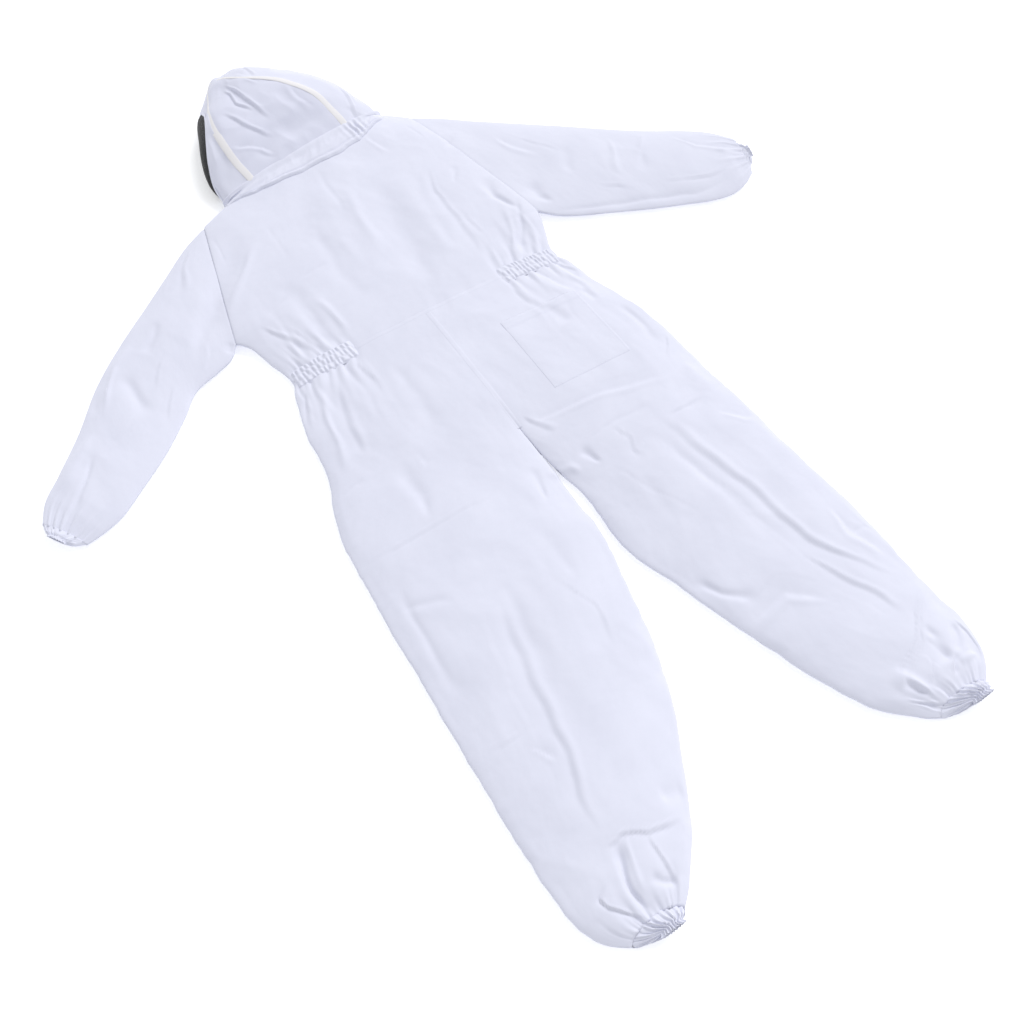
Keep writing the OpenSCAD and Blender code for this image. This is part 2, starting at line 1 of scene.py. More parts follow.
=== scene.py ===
import bpy, math
import numpy as np
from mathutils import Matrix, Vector


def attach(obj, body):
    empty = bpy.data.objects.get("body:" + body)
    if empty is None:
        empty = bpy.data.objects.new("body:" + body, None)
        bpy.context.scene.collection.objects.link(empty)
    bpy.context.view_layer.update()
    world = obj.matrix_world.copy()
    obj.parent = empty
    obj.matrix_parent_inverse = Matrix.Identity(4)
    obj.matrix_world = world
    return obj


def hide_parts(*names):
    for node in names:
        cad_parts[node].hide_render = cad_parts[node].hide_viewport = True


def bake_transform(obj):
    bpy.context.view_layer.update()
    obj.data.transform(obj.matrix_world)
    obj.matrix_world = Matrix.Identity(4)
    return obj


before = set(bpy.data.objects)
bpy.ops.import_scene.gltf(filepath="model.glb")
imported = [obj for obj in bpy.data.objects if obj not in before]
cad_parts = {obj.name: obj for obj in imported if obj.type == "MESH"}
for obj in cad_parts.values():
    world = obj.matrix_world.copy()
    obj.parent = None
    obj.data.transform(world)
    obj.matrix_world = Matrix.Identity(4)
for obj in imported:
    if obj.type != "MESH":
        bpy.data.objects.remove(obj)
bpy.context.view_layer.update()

scene = bpy.context.scene

# ---- Camera --------------------------------------------------------------
cam = bpy.data.cameras.new("camera")
cam.lens, cam.sensor_width = 35, 36
cam.clip_start, cam.clip_end = 0.05, 60
camera = bpy.data.objects.new("camera", cam)
scene.collection.objects.link(camera)
eye, aim = Vector((-0.5702, -0.9600, 1.3903)), Vector((-0.1186, -0.2759, 0.0))
camera.location = eye
camera.rotation_euler = (aim - eye).to_track_quat("-Z", "Y").to_euler()
scene.camera = camera

# ---- Helpers -------------------------------------------------------------
# Pattern coordinates are in millimetres from the middle of the waist seam;
# the row frame is in metres from the middle of the footprint.
SHIFT = np.array([-17.5, 147.9, 0.0])


def row(p):
    return (np.asarray(p, float) + SHIFT) / 1000.0


def smooth(t):
    t = np.clip(t, 0, 1)
    return t * t * (3 - 2 * t)


def mix(a, b, t):
    return a + (b - a) * t


class Noise:
    """Plain gradient noise in the plane, the same on every run."""

    def __init__(self, seed):
        r = np.random.RandomState(seed)
        self.p = np.concatenate([r.permutation(256)] * 2)
        a = r.rand(256) * 2 * np.pi
        self.gx, self.gy = np.cos(a), np.sin(a)

    def __call__(self, x, y):
        x, y = np.broadcast_arrays(np.asarray(x, float), np.asarray(y, float))
        xi, yi = np.floor(x).astype(int), np.floor(y).astype(int)
        xf, yf = x - xi, y - yi
        u = xf ** 3 * (xf * (xf * 6 - 15) + 10)
        v = yf ** 3 * (yf * (yf * 6 - 15) + 10)

        def g(i, j):
            h = self.p[self.p[(xi + i) & 255] + ((yi + j) & 255)]
            return self.gx[h] * (xf - i) + self.gy[h] * (yf - j)

        return 1.5 * mix(mix(g(0, 0), g(1, 0), u), mix(g(0, 1), g(1, 1), u), v)


N1, N2, N3, N4, N5, N6 = [Noise(s) for s in (3, 11, 23, 37, 51, 71)]


def hermite(ts, vals, t):
    """Smooth curve through given values."""
    ts, vals = np.asarray(ts, float), np.asarray(vals, float)
    flat = vals.ndim == 1
    if flat:
        vals = vals[:, None]
    d = np.diff(ts)
    sl = np.diff(vals, axis=0) / d[:, None]
    m = np.empty_like(vals)
    m[0], m[-1] = sl[0], sl[-1]
    if len(ts) > 2:
        m[1:-1] = (sl[:-1] * d[1:, None] + sl[1:] * d[:-1, None]) / (d[:-1] + d[1:])[:, None]
    t = np.asarray(t, float)
    k = np.clip(np.searchsorted(ts, t, side="right") - 1, 0, len(ts) - 2)
    h = d[k]
    u = np.clip((t - ts[k]) / h, 0, 1)[..., None]
    h = h[..., None]
    out = ((1 + 2 * u) * (1 - u) ** 2 * vals[k] + u * (1 - u) ** 2 * h * m[k]
           + u * u * (3 - 2 * u) * vals[k + 1] + u * u * (u - 1) * h * m[k + 1])
    return out[..., 0] if flat else out


def resample(pts, n):
    """n points at even steps along a polyline that is smoothed at its corners."""
    p = np.asarray(pts, float)
    t = np.concatenate([[0], np.cumsum(np.linalg.norm(np.diff(p, axis=0), axis=1))])
    q = hermite(t, p, np.linspace(0, t[-1], 400))
    t = np.concatenate([[0], np.cumsum(np.linalg.norm(np.diff(q, axis=0), axis=1))])
    w = np.linspace(0, t[-1], n)
    return np.stack([np.interp(w, t, q[:, k]) for k in range(p.shape[1])], 1)


def normals(P):
    du, dv = np.gradient(P, axis=0), np.gradient(P, axis=1)
    n = np.cross(dv, du)
    return n / np.maximum(np.linalg.norm(n, axis=2, keepdims=True), 1e-12)


def arc(P, axis):
    return np.linalg.norm(np.diff(P, axis=axis), axis=2).sum(axis=axis)


def mesh_object(name, verts, faces, uv=None, material=None, smooth_shade=True):
    me = bpy.data.meshes.new(name)
    me.from_pydata(np.asarray(verts).tolist(), [], faces if isinstance(faces, list) else faces.tolist())
    if smooth_shade:
        me.polygons.foreach_set("use_smooth", np.ones(len(me.polygons), bool))
    if uv is not None:
        idx = np.empty(len(me.loops), int)
        me.loops.foreach_get("vertex_index", idx)
        layer = me.uv_layers.new(name="cloth")
        layer.data.foreach_set("uv", np.asarray(uv, float)[idx].ravel())
    me.update()
    ob = bpy.data.objects.new(name, me)
    scene.collection.objects.link(ob)
    if material is not None:
        me.materials.append(material)
    return ob


SHEETS = []


def cloth(name, P, material, up=True, thick=0.7, held="laid", rests=(), declare=True, slot="cloth", uv0=(0, 0), with_pieces=()):
    """A sheet of real thickness through a grid of points (pattern mm)."""
    P = row(P)
    th = thick / 1000
    n, m = P.shape[:2]
    N = normals(P)
    Q = n * m
    outer, inner = P + N * th / 2, P - N * th / 2
    idx = np.arange(Q).reshape(n, m)
    a, b, c, d = idx[:-1, :-1], idx[:-1, 1:], idx[1:, 1:], idx[1:, :-1]
    top = np.stack([a, b, c, d], -1).reshape(-1, 4)
    F = [top, top[:, ::-1] + Q]
    for e0, e1 in ((idx[0, 1:], idx[0, :-1]), (idx[-1, :-1], idx[-1, 1:]), (idx[:-1, 0], idx[1:, 0]), (idx[1:, -1], idx[:-1, -1])):
        F.append(np.stack([e0, e1, e1 + Q, e0 + Q], -1))
    F = np.concatenate(F)
    V = np.concatenate([outer.reshape(-1, 3), inner.reshape(-1, 3)])
    c0 = V - V.mean(0)
    if np.einsum("ij,ij->i", np.cross(c0[F[:, 1]] - c0[F[:, 0]], c0[F[:, 2]] - c0[F[:, 0]]), c0[F[:, 0]]).sum() + np.einsum("ij,ij->i", np.cross(c0[F[:, 2]] - c0[F[:, 0]], c0[F[:, 3]] - c0[F[:, 0]]), c0[F[:, 0]]).sum() < 0:
        F = F[:, ::-1]
    wu = np.concatenate([np.zeros((n, 1)), np.cumsum(np.linalg.norm(np.diff(P, axis=1), axis=2), axis=1)], 1)
    wv = np.concatenate([np.zeros((1, m)), np.cumsum(np.linalg.norm(np.diff(P, axis=0), axis=2), axis=0)], 0)
    wu = wu - wu[:, m // 2][:, None] + uv0[0]
    wv = np.broadcast_to(wv[:, m // 2][:, None], (n, m)) + uv0[1]
    uv = np.stack([wu, wv], -1).reshape(-1, 2)
    ob = mesh_object(name, np.concatenate([outer.reshape(-1, 3), inner.reshape(-1, 3)]), F, np.concatenate([uv, uv]), material)
    if declare:
        w, l = float(arc(P, 1).max()), float(arc(P, 0).max())
        p00, p01, p10, p11 = P[:-1, :-1], P[:-1, 1:], P[1:, :-1], P[1:, 1:]
        area = float((np.linalg.norm(np.cross(p01 - p00, p11 - p00), axis=2) + np.linalg.norm(np.cross(p11 - p00, p10 - p00), axis=2)).sum() / 2)
        SHEETS.append((ob, round(w, 4), round(l, 4), area, held, list(rests)))
    return ob


def lensr(s, p=0.6):
    return np.clip(1 - (2 * s - 1) ** 2, 0, 1) ** p


def spread(n, k=0.5):
    """Columns from 0 to 1, closer together towards both edges."""
    u = np.linspace(0, 1, n)
    return mix(u, (1 - np.cos(np.pi * u)) / 2, k)


# ---- Creases -------------------------------------------------------------
# kind, half width, depth, route: v valley, r ridge, f valley with a ridge to
# the left of its route, g valley with a ridge to the right. Pattern mm.
CREASES = [
    # bodice
    ("v", 26, 4.5, [(85, 370), (70, 280), (50, 150), (30, 30)]),
    ("r", 22, 2.4, [(20, 380), (8, 270), (-8, 150)]),
    ("r", 20, 2.6, [(125, 340), (112, 230), (100, 90)]),
    ("f", 5, 2.4, [(190, 330), (165, 250), (155, 100), (152, 30)]),
    ("r", 12, 2.0, [(178, 330), (148, 240), (138, 90)]),
    ("v", 8, 2.2, [(235, 300), (205, 250)]),
    ("v", 15, 5.0, [(270, 240), (260, 180), (285, 120)]),
    ("v", 10, 3.5, [(300, 160), (250, 80), (220, 30)]),
    ("r", 9, 2.6, [(262, 150), (228, 75), (205, 28)]),
    ("g", 5, 2.0, [(130, 470), (150, 400)]),
    ("v", 9, 1.4, [(0, 440), (-15, 280)]),
    ("v", 20, 5.0, [(-200, 360), (-280, 270), (-340, 210), (-410, 120)]),
    ("r", 16, 3.0, [(-180, 330), (-262, 238), (-330, 170)]),
    ("v", 3.2, 1.1, [(-150, 350), (-155, 240)]),
    ("v", 14, 3.2, [(-190, 200), (-180, 40)]),
    ("f", 5, 3.0, [(-275, 135), (-220, 30)]),
    ("r", 9, 2.4, [(-160, 140), (-145, 30)]),
    ("v", 4, 1.2, [(-160, 190), (-100, 200)]),
    ("v", 4, 1.6, [(-250, 150), (-200, 165)]),
    ("g", 4, 1.6, [(300, 385), (255, 360)]),
    ("v", 3, 1.4, [(220, 460), (230, 400)]),
    ("v", 3, 1.2, [(-250, 390), (-260, 300)]),
    ("f", 4, 1.8, [(-235, 110), (-205, 20)]),
    ("g", 4, 1.6, [(-262, 80), (-240, 20)]),
    ("v", 12, 2.2, [(-80, 300), (-95, 180), (-85, 70)]),
    ("r", 12, 1.8, [(-55, 250), (-50, 130)]),
    ("f", 4, 1.5, [(175, 200), (182, 110), (176, 30)]),
    ("v", 6, 2.0, [(240, 60), (232, 15)]),
    # seat
    ("f", 5, 2.6, [(-275, -30), (-305, -110)]),
    ("f", 6, 3.0, [(-215, -50), (-235, -100), (-245, -150), (-255, -220)]),
    ("f", 4, 2.4, [(-170, -30), (-165, -90)]),
    ("v", 14, 3.6, [(-220, -250), (-210, -330), (-225, -380)]),
    ("g", 4, 1.4, [(-180, -250), (-178, -290)]),
    ("v", 4, 1.4, [(-330, -258), (-270, -250)]),
    ("f", 2.6, 1.5, [(-355, -385), (-250, -390), (-100, -395)]),
    ("v", 6, 1.8, [(-345, -480), (-300, -500), (-260, -515)]),
    ("r", 10, 2.2, [(-255, -60), (-272, -150), (-288, -230)]),
    ("v", 12, 2.4, [(-120, -60), (-118, -160), (-128, -240)]),
    ("f", 4, 2.2, [(155, -30), (162, -95)]),
    ("v", 12, 3.4, [(180, -100), (190, -170)]),
    ("f", 4, 2.4, [(260, -20), (290, -60)]),
    ("g", 5, 2.6, [(215, -30), (250, -100)]),
    ("v", 6, 2.2, [(260, -100), (275, -140)]),
    ("f", 3, 1.8, [(330, -270), (295, -320)]),
    ("g", 5, 2.4, [(0, -310), (140, -320), (200, -340), (280, -350)]),
    ("v", 4, 1.6, [(60, -385), (210, -385)]),
    ("f", 4, 2.0, [(210, -425), (300, -420)]),
    ("g", 5, 2.6, [(290, -460), (330, -495), (350, -500)]),
    ("f", 3.5, 2.2, [(120, -385), (135, -425), (120, -445), (130, -470)]),
    ("f", 5, 2.4, [(5, -290), (40, -350)]),
    ("v", 8, 4.0, [(50, -390), (70, -440)]),
    ("v", 8, 3.2, [(-35, -380), (-50, -450)]),
    ("r", 7, 3.0, [(-25, -408), (20, -412), (35, -430)]),
    ("v", 16, 2.6, [(300, -160), (308, -240), (300, -300)]),
    ("r", 12, 2.0, [(315, -340), (318, -420)]),
    # left leg
    ("f", 7, 3.6, [(-210, -520), (-235, -650), (-245, -700), (-255, -750), (-260, -800), (-280, -860), (-290, -930)]),
    ("v", 24, 3.2, [(-190, -500), (-212, -640), (-222, -760), (-240, -860)]),
    ("f", 2.6, 1.4, [(-350, -745), (-270, -745)]),
    ("g", 4, 2.2, [(-300, -770), (-275, -800)]),
    ("v", 12, 2.6, [(-190, -920), (-150, -930)]),
    ("f", 3.8, 3.6, [(-300, -930), (-284, -936), (-262, -932), (-246, -939), (-231, -952), (-208, -958), (-177, -964)]),
    ("r", 3.5, 2.8, [(-262, -934), (-275, -978), (-282, -1018)]),
    ("v", 9, 6.0, [(-276, -930), (-287, -970), (-293, -1002), (-292, -1040)]),
    ("f", 3, 4.2, [(-312, -978), (-334, -986), (-331, -1002), (-318, -1017), (-300, -1036)]),
    ("f", 4, 2.6, [(-235, -952), (-240, -991), (-240, -1030)]),
    ("v", 9, 3.6, [(-270, -998), (-253, -1014), (-232, -1024)]),
    ("v", 16, 2.0, [(-330, -430), (-335, -560), (-338, -680)]),
    ("r", 18, 1.8, [(-130, -470), (-140, -620), (-150, -740)]),
    ("v", 14, 1.6, [(-90, -470), (-85, -600)]),
    ("f", 4, 1.3, [(-120, -560), (-95, -640), (-110, -720)]),
    # right leg
    ("f", 7, 4.0, [(185, -395), (205, -470), (215, -530), (235, -600), (240, -680), (250, -730), (265, -770), (300, -820), (335, -870)]),
    ("v", 22, 3.2, [(165, -420), (190, -540), (205, -640), (215, -740)]),
    ("v", 3, 1.3, [(75, -450), (100, -520), (150, -610)]),
    ("f", 5, 3.0, [(225, -740), (240, -790), (260, -840), (275, -870), (285, -910)]),
    ("g", 6, 2.6, [(325, -700), (320, -760), (335, -800), (340, -830)]),
    ("v", 3, 1.6, [(320, -765), (355, -765)]),
    ("g", 7, 2.6, [(80, -800), (160, -780), (210, -835)]),
    ("v", 16, 3.4, [(60, -680), (85, -730), (125, -770)]),
    ("f", 2.6, 2.2, [(350, -890), (300, -915), (275, -945), (220, -970), (185, -995)]),
    ("f", 2.6, 1.6, [(352, -898), (303, -923), (279, -953), (224, -978), (189, -1003)]),
    ("r", 8, 4.6, [(190, -995), (210, -980), (235, -1030)]),
    ("f", 6, 3.6, [(285, -950), (295, -1000)]),
    ("v", 6, 4.0, [(340, -955), (310, -995)]),
    ("r", 8, 3.0, [(300, -1005), (335, -1012)]),
    ("r", 18, 1.6, [(290, -520), (300, -640), (305, -740)]),
    ("v", 12, 1.4, [(110, -480), (95, -600)]),
    ("v", 11, 4.2, [(297, -937), (298, -969), (292, -1006)]),
    ("g", 3.4, 3.4, [(309, -991), (293, -1003), (279, -1023)]),
    ("f", 3.6, 3.6, [(343, -950), (347, -978), (344, -1008), (328, -1033)]),
    ("v", 9, 3.8, [(202, -983), (215, -1007), (234, -1023)]),
    ("f", 3.4, 3.0, [(186, -1006), (211, -1024), (241, -1047)]),
    ("g", 3.4, 2.2, [(266, -976), (253, -995), (241, -1013)]),
    # left sleeve
    ("f", 5, 3.4, [(-300, 395), (-330, 350), (-365, 280)]),
    ("r", 10, 3.6, [(-580, 100), (-555, 150), (-525, 200), (-470, 235)]),
    ("v", 12, 3.6, [(-600, 108), (-575, 165), (-545, 212)]),
    ("v", 22, 3.6, [(-520, 175), (-520, 60)]),
    ("r", 12, 3.2, [(-610, 85), (-700, 0)]),
    ("v", 10, 3.0, [(-620, 40), (-660, -10), (-705, -60)]),
    ("v", 3, 1.2, [(-600, 40), (-560, 50), (-540, 70)]),
    ("f", 4, 1.8, [(-455, 100), (-500, 40)]),
    ("f", 4, 2.2, [(-400, 105), (-360, 145)]),
    ("v", 6, 4.0, [(-345, 115), (-330, 135)]),
    ("v", 16, 2.4, [(-420, 250), (-470, 190)]),
    ("f", 4, 1.8, [(-440, 170), (-490, 110)]),
    # right sleeve
    ("g", 6, 2.8, [(350, 330), (370, 290), (405, 240)]),
    ("v", 14, 5.0, [(335, 185), (337, 140), (350, 110)]),
    ("v", 5, 5.0, [(310, 105), (400, 66), (500, 26), (600, -18), (700, -30)]),
    ("f", 4, 2.2, [(450, 100), (500, 60)]),
    ("f", 4, 2.6, [(560, 40), (600, 20), (650, -3), (700, -7)]),
    ("r", 10, 2.6, [(550, 200), (500, 100)]),
    ("r", 10, 2.4, [(620, 180), (560, 120)]),
    ("g", 5, 3.0, [(660, 145), (670, 110), (680, 80), (710, 60), (760, 20)]),
    ("v", 14, 2.6, [(455, 240), (420, 150)]),
    ("v", 16, 2.2, [(590, 150), (545, 80)]),
    ("f", 3.5, 1.4, [(395, 300), (440, 225)]),
]


def near(x, y, pts):
    """Distance to a route, its sign (left +) and the share along it."""
    p = np.asarray(pts, float)
    seg = np.linalg.norm(np.diff(p, axis=0), axis=1)
    cum = np.concatenate([[0], np.cumsum(seg)])
    best = np.full(x.shape, 1e9)
    sign, along = np.ones(x.shape), np.zeros(x.shape)
    for k in range(len(p) - 1):
        d = (p[k + 1] - p[k]) / seg[k]
        rx, ry = x - p[k, 0], y - p[k, 1]
        t = np.clip(rx * d[0] + ry * d[1], 0, seg[k])
        ex, ey = rx - t * d[0], ry - t * d[1]
        dist = np.hypot(ex, ey)
        m = dist < best
        best[m] = dist[m]
        sign[m] = np.sign(d[0] * ry - d[1] * rx)[m]
        along[m] = ((cum[k] + t) / cum[-1])[m]
    return best, sign, along


def fold_profile(kind, d, sg, w):
    """Height across a crease: broad valleys and ridges, or a kink with one steep side."""
    if kind in "vr":
        h = np.exp(-(d / w) ** 2) if np.max(w) > 7 else 0.6 * np.exp(-np.sqrt(d * d + 0.8) / (0.9 * w)) + 0.4 * np.exp(-(d / (1.8 * w)) ** 2)
        return h if kind == "r" else -h
    q = d * sg * (1 if kind == "f" else -1)
    a = np.sqrt(q * q + 0.5)
    steep = np.exp(-a / (0.75 * w))
    gentle = np.exp(-a / (2.6 * w))
    lip = 0.55 * np.exp(-(((q - 1.5 * w) / (0.9 * w)) ** 2))
    return -0.85 * np.where(q > 0, steep, gentle) + lip


def creased(x, y, gain=1.0):
    """Height that the listed creases add at a point."""
    x, y = np.asarray(x, float), np.asarray(y, float)
    out = np.zeros(x.shape)
    wx = x + 5 * N5(x / 60, y / 60)
    wy = y + 5 * N6(x / 60, y / 60)
    for kind, w, depth, pts in CREASES:
        p = np.asarray(pts, float)
        r = 3.2 * w + 8
        m = (wx > p[:, 0].min() - r) & (wx < p[:, 0].max() + r) & (wy > p[:, 1].min() - r) & (wy < p[:, 1].max() + r)
        if not m.any():
            continue
        d, sg, t = near(wx[m], wy[m], p)
        fade = smooth(np.minimum(t, 1 - t) / 0.28 + 0.0)
        fade = np.where(d < r, fade, 0)
        ww = w * (0.8 + 0.4 * np.sin(3.1 * t + w))
        h = fold_profile(kind, d, sg, ww)
        out[m] += gain * depth * fade * h
    return out


def rumpled(x, y, k=1.0):
    """The general unevenness of cloth that has been packed and laid out."""
    wx = x + 38 * N1(x / 210, y / 210)
    wy = y + 38 * N2(x / 210, y / 210)
    a = 2.4 * N3(wx / 150, wy / 190) + 1.3 * N4(wx / 66, wy / 84)
    soft = 1.0 - np.abs(N5(wx / 98, wy / 124)) * 2.2
    sharp = 1.0 - np.abs(N6(wx / 52, wy / 70)) * 2.6
    b = 0.9 * np.maximum(soft, -0.4) + 0.34 * np.maximum(sharp, -0.3) * smooth(0.5 + 1.4 * N2(x / 130, y / 130))
    c = 0.22 * N1(wx / 17, wy / 21) + 0.12 * N2(wx / 8, wy / 9)
    return k * (a + b - 0.5 + c)


def gathers(x, y):
    """Folds that run from the waist elastic, up and down."""
    ax = np.abs(x)
    band = smooth((ax - 146) / 16) * smooth((290 - ax) / 14)
    far = np.abs(y)
    ph = 2.2 * N4(x / 34, y / 90) + 1.1 * N5(x / 17, y / 60)
    xs = x / (1 + 0.0011 * far)
    f1 = np.cos(2 * np.pi * xs / 11.0 + ph)
    f2 = np.cos(2 * np.pi * xs / 23.0 + 1.3 * ph + 0.7)
    f3 = np.cos(2 * np.pi * xs / 44.0 + 1.5 * ph + 1.9)
    h = 0.9 * f1 * np.exp(-(far / 34) ** 1.6) + 1.9 * f2 * np.exp(-(far / 58) ** 1.6) * smooth(far / 16 + 0.25) + 1.7 * f3 * np.exp(-(far / 105) ** 1.5) * smooth(far / 40)
    dip = -2.2 * np.exp(-(far / 30) ** 2)
    return band * (h + dip)


def surface(x, y):
    """All that is added to the back's smooth shape."""
    return creased(x, y) + rumpled(x, y) + gathers(x, y)


# ---- Outline of the trunk and legs ----------------------------------------
Y_L = [10, 0, -25, -60, -120, -190, -240, -280, -330, -375, -420, -500, -575, -650, -700, -750, -815, -880, -930, -970, -1000, -1022, -1040, -1053]
X_LO = [-280, -278, -288, -298, -311, -317, -332, -347, -360, -363, -366, -371, -373, -376, -378, -381, -382, -384, -383, -381, -376, -367, -350, -330]
Y_LI = [10, 0, -300, -400, -425, -470, -540, -600, -645, -690, -740, -790, -825, -855, -900, -940, -972, -1000, -1022, -1040, -1053]
X_LI = [-8, -8, -8, -3, -4, -5, -6, -19, -29, -40, -54, -71, -86, -101, -128, -151, -171, -192, -212, -230, -247]
Y_R = [10, 0, -20, -50, -85, -140, -200, -270, -320, -380, -450, -515, -580, -640, -700, -750, -800, -850, -900, -950, -985, -1012, -1034, -1053]
X_RO = [279, 278, 289, 294, 301, 319, 334, 341, 343, 345, 350, 353, 355, 358, 362, 363, 363, 361, 360, 363, 360, 350, 336, 317]
Y_RI = [10, 0, -300, -400, -425, -450, -500, -545, -590, -630, -670, -720, -760, -790, -850, -910, -960, -1005, -1030, -1044, -1053]
X_RI = [-8, -8, -8, 2, 6, 11, 12, 8, 11, 22, 35, 50, 61, 71, 91, 112, 133, 163, 190, 206, 223]


def edge(ys, xs, y):
    return hermite(-np.asarray(ys, float), xs, -np.asarray(y, float))


def wobble(y, seed):
    return 1.6 * seed(y / 37.0, 0.5) + 0.9 * seed(y / 14.0, 7.5)


def outer_left(y): return edge(Y_L, X_LO, y) + wobble(y, N1) * smooth(-y / 60)
def inner_left(y): return edge(Y_LI, X_LI, y) + wobble(y, N2) * smooth((-y - 440) / 60)
def outer_right(y): return edge(Y_R, X_RO, y) + wobble(y, N3) * smooth(-y / 60)
def inner_right(y): return edge(Y_RI, X_RI, y) + wobble(y, N4) * smooth((-y - 440) / 60)


E0 = 7.0  # height of a closed side seam


def trunk_base(x, y, side):
    """Smooth height of the trousers' back: one broad swell that parts into two legs."""
    xl, xr = outer_left(y), outer_right(y)
    S = np.clip((x - xl) / (xr - xl), 0, 1)
    hb = np.interp(-y, [0, 60, 160, 300, 420], [28, 30.5, 33, 31, 29])
    body = mix(E0, hb, lensr(S))
    xo, xi = (xl, inner_left(y)) if side < 0 else (xr, inner_right(y))
    s = np.clip((x - xo) / (xi - xo), 0, 1)
    hl = np.interp(-y, [0, 300, 420, 540, 750, 900, 1000, 1030, 1053], [28, 29, 27.5, 26.5, 26, 26, 25, 22, 17])
    leg = mix(E0, hl, lensr(s))
    k = smooth((-y - 190) / 235)
    return mix(body, leg, k)


def ankle_folds(x, y, side):
    xo, xi = (outer_left(y), inner_left(y)) if side < 0 else (outer_right(y), inner_right(y))
    s = np.clip((x - xo) / (xi - xo), 0, 1)
    t = smooth((-y - 955) / 100)
    ph = 1.6 * N3(s * 5 + 3 * side, y / 80)
    h = 1.5 * np.cos(2 * np.pi * 4.3 * s + 1.6 * ph) + 1.1 * np.cos(2 * np.pi * 8.7 * s + 2.4 * ph + 1) * t * t + 0.9 * np.cos(2 * np.pi * 17 * s + 3 * ph) * t ** 4
    return t * h * lensr(s, 0.35)


def trouser_back(side, ny=300, nx=104):
    y = np.concatenate([np.linspace(0, -750, int(ny * 0.68)), np.linspace(-750, -1053, ny - int(ny * 0.68) + 1)[1:]])
    xo = outer_left(y) if side < 0 else outer_right(y)
    xi = inner_left(y) if side < 0 else inner_right(y)
    s = spread(nx, 0.55)
    X = mix(xo[:, None], xi[:, None], s[None, :])
    Y = np.broadcast_to(y[:, None], X.shape)
    Z = trunk_base(X, Y, side)
    dist_o = np.abs(X - xo[:, None])
    dist_i = np.abs(X - xi[:, None])
    tail = smooth((-Y - 400) / 60)
    fade = smooth(dist_o / 16) * mix(1, smooth(dist_i / 16), tail)
    Y = Y + 13.0 * lensr(s)[None, :] * smooth((-Y - 985) / 68)
    Z = Z + fade * (surface(X, Y) + ankle_folds(X, Y, side))
    return np.stack([X, Y, np.maximum(Z, 3.4)], -1)


def trouser_front(side, ny=190, nx=56):
    y = np.linspace(0, -1053, ny)
    xo = outer_left(y) if side < 0 else outer_right(y)
    xi = (inner_left(y) if side < 0 else inner_right(y))
    k = smooth((-y - 372) / 30)
    xi = mix(7.0 * side, xi, k)
    zi = mix(7.8, E0, k)
    s = spread(nx, 0.6)
    X = mix(xo[:, None], xi[:, None], s[None, :])
    Y = np.broadcast_to(y[:, None], X.shape)
    low = 1.1 + 0.5 * np.abs(N3(X / 60, Y / 90)) + 0.35 * np.abs(N4(X / 26, Y / 40))
    ends = mix(E0, zi[:, None], s[None, :])
    rise = 1 - lensr(s, 0.28)[None, :]
    t = smooth((-Y - 975) / 78)
    folds = t * (1.6 + 1.5 * np.cos(2 * np.pi * 7 * s[None, :] + 1.4 * N2(s[None, :] * 5, Y / 70))) * lensr(s, 0.4)[None, :]
    Y = Y - 10.0 * lensr(s)[None, :] * smooth((-Y - 985) / 68)
    return np.stack([X, Y, mix(low, ends, rise) + folds], -1)


# ---- Bodice ---------------------------------------------------------------
ARM_L = (np.array([-325.0, 130.0]), np.array([-250.0, 430.0]))
ARM_R = (np.array([311.0, 110.0]), np.array([242.0, 490.0]))
ARM_TOP = 24.5


def arm_back_z(q):  # q from the armpit (0) to the shoulder (1)
    return mix(mix(15.0, 11.5, q), ARM_TOP, lensr(q))


def arm_front_z(q):
    return mix(1.2, mix(15.0, 11.5, q), 1 - lensr(q, 0.28))


NA, NB, NC = 34, 88, 14
left_side = np.concatenate([
    resample([(-278, 0), (-283, 26), (-292, 54), (-299, 82), (-309, 110), (-325, 130)], NA)[:-1],
    np.linspace(ARM_L[0], ARM_L[1], NB)[:-1],
    resample([(-250, 430), (-222, 443), (-195, 455)], NC)])
right_side = np.concatenate([
    resample([(278, 0), (281, 22), (294, 55), (303, 80), (307, 96), (311, 110)], NA)[:-1],
    np.linspace(ARM_R[0], ARM_R[1], NB)[:-1],
    resample([(242, 490), (221, 509), (200, 525)], NC)])
nrow = len(left_side)
ra, rb = NA - 1, NA + NB - 2
rr = np.arange(nrow)
q_arm = np.clip((rr - ra) / (rb - ra), 0, 1)
side_z = np.where(rr <= ra, mix(E0, 15.0, smooth((rr / ra - 0.35) / 0.65)), np.where(rr <= rb, arm_back_z(q_arm), 11.5))
low_z = np.where(rr <= ra, mix(E0, 15.0, smooth((rr / ra - 0.35) / 0.65)), np.where(rr <= rb, arm_front_z(q_arm), mix(11.5, 9.0, np.clip((rr - rb) / (nrow - 1 - rb), 0, 1))))
mid_z = np.interp(rr, [0, ra * 0.5, ra, ra + 30, rb - 8, nrow - 1], [28, 32, 34, 36, 36, 38])
at_side = (rr <= ra) | (rr > rb)


def bodice_back(nx=156):
    s = spread(nx, 0.45)
    X = mix(left_side[:, :1], right_side[:, :1], s[None, :])
    Y = mix(left_side[:, 1:], right_side[:, 1:], s[None, :])
    Z = mix(side_z[:, None], mid_z[:, None], lensr(s)[None, :])
    dist = np.minimum(s, 1 - s)[None, :] * (right_side[:, :1] - left_side[:, :1])
    k = np.where(at_side, 1.0, 0.0)
    k = np.convolve(np.pad(k, 6, mode="edge"), np.ones(13) / 13, mode="valid")
    arm = mix(lensr(q_arm, 0.42)[:, None], 1, smooth(dist / 50))
    fade = mix(arm, smooth(dist / 16), k[:, None])
    return np.stack([X, Y, Z + fade * surface(X, Y)], -1), s


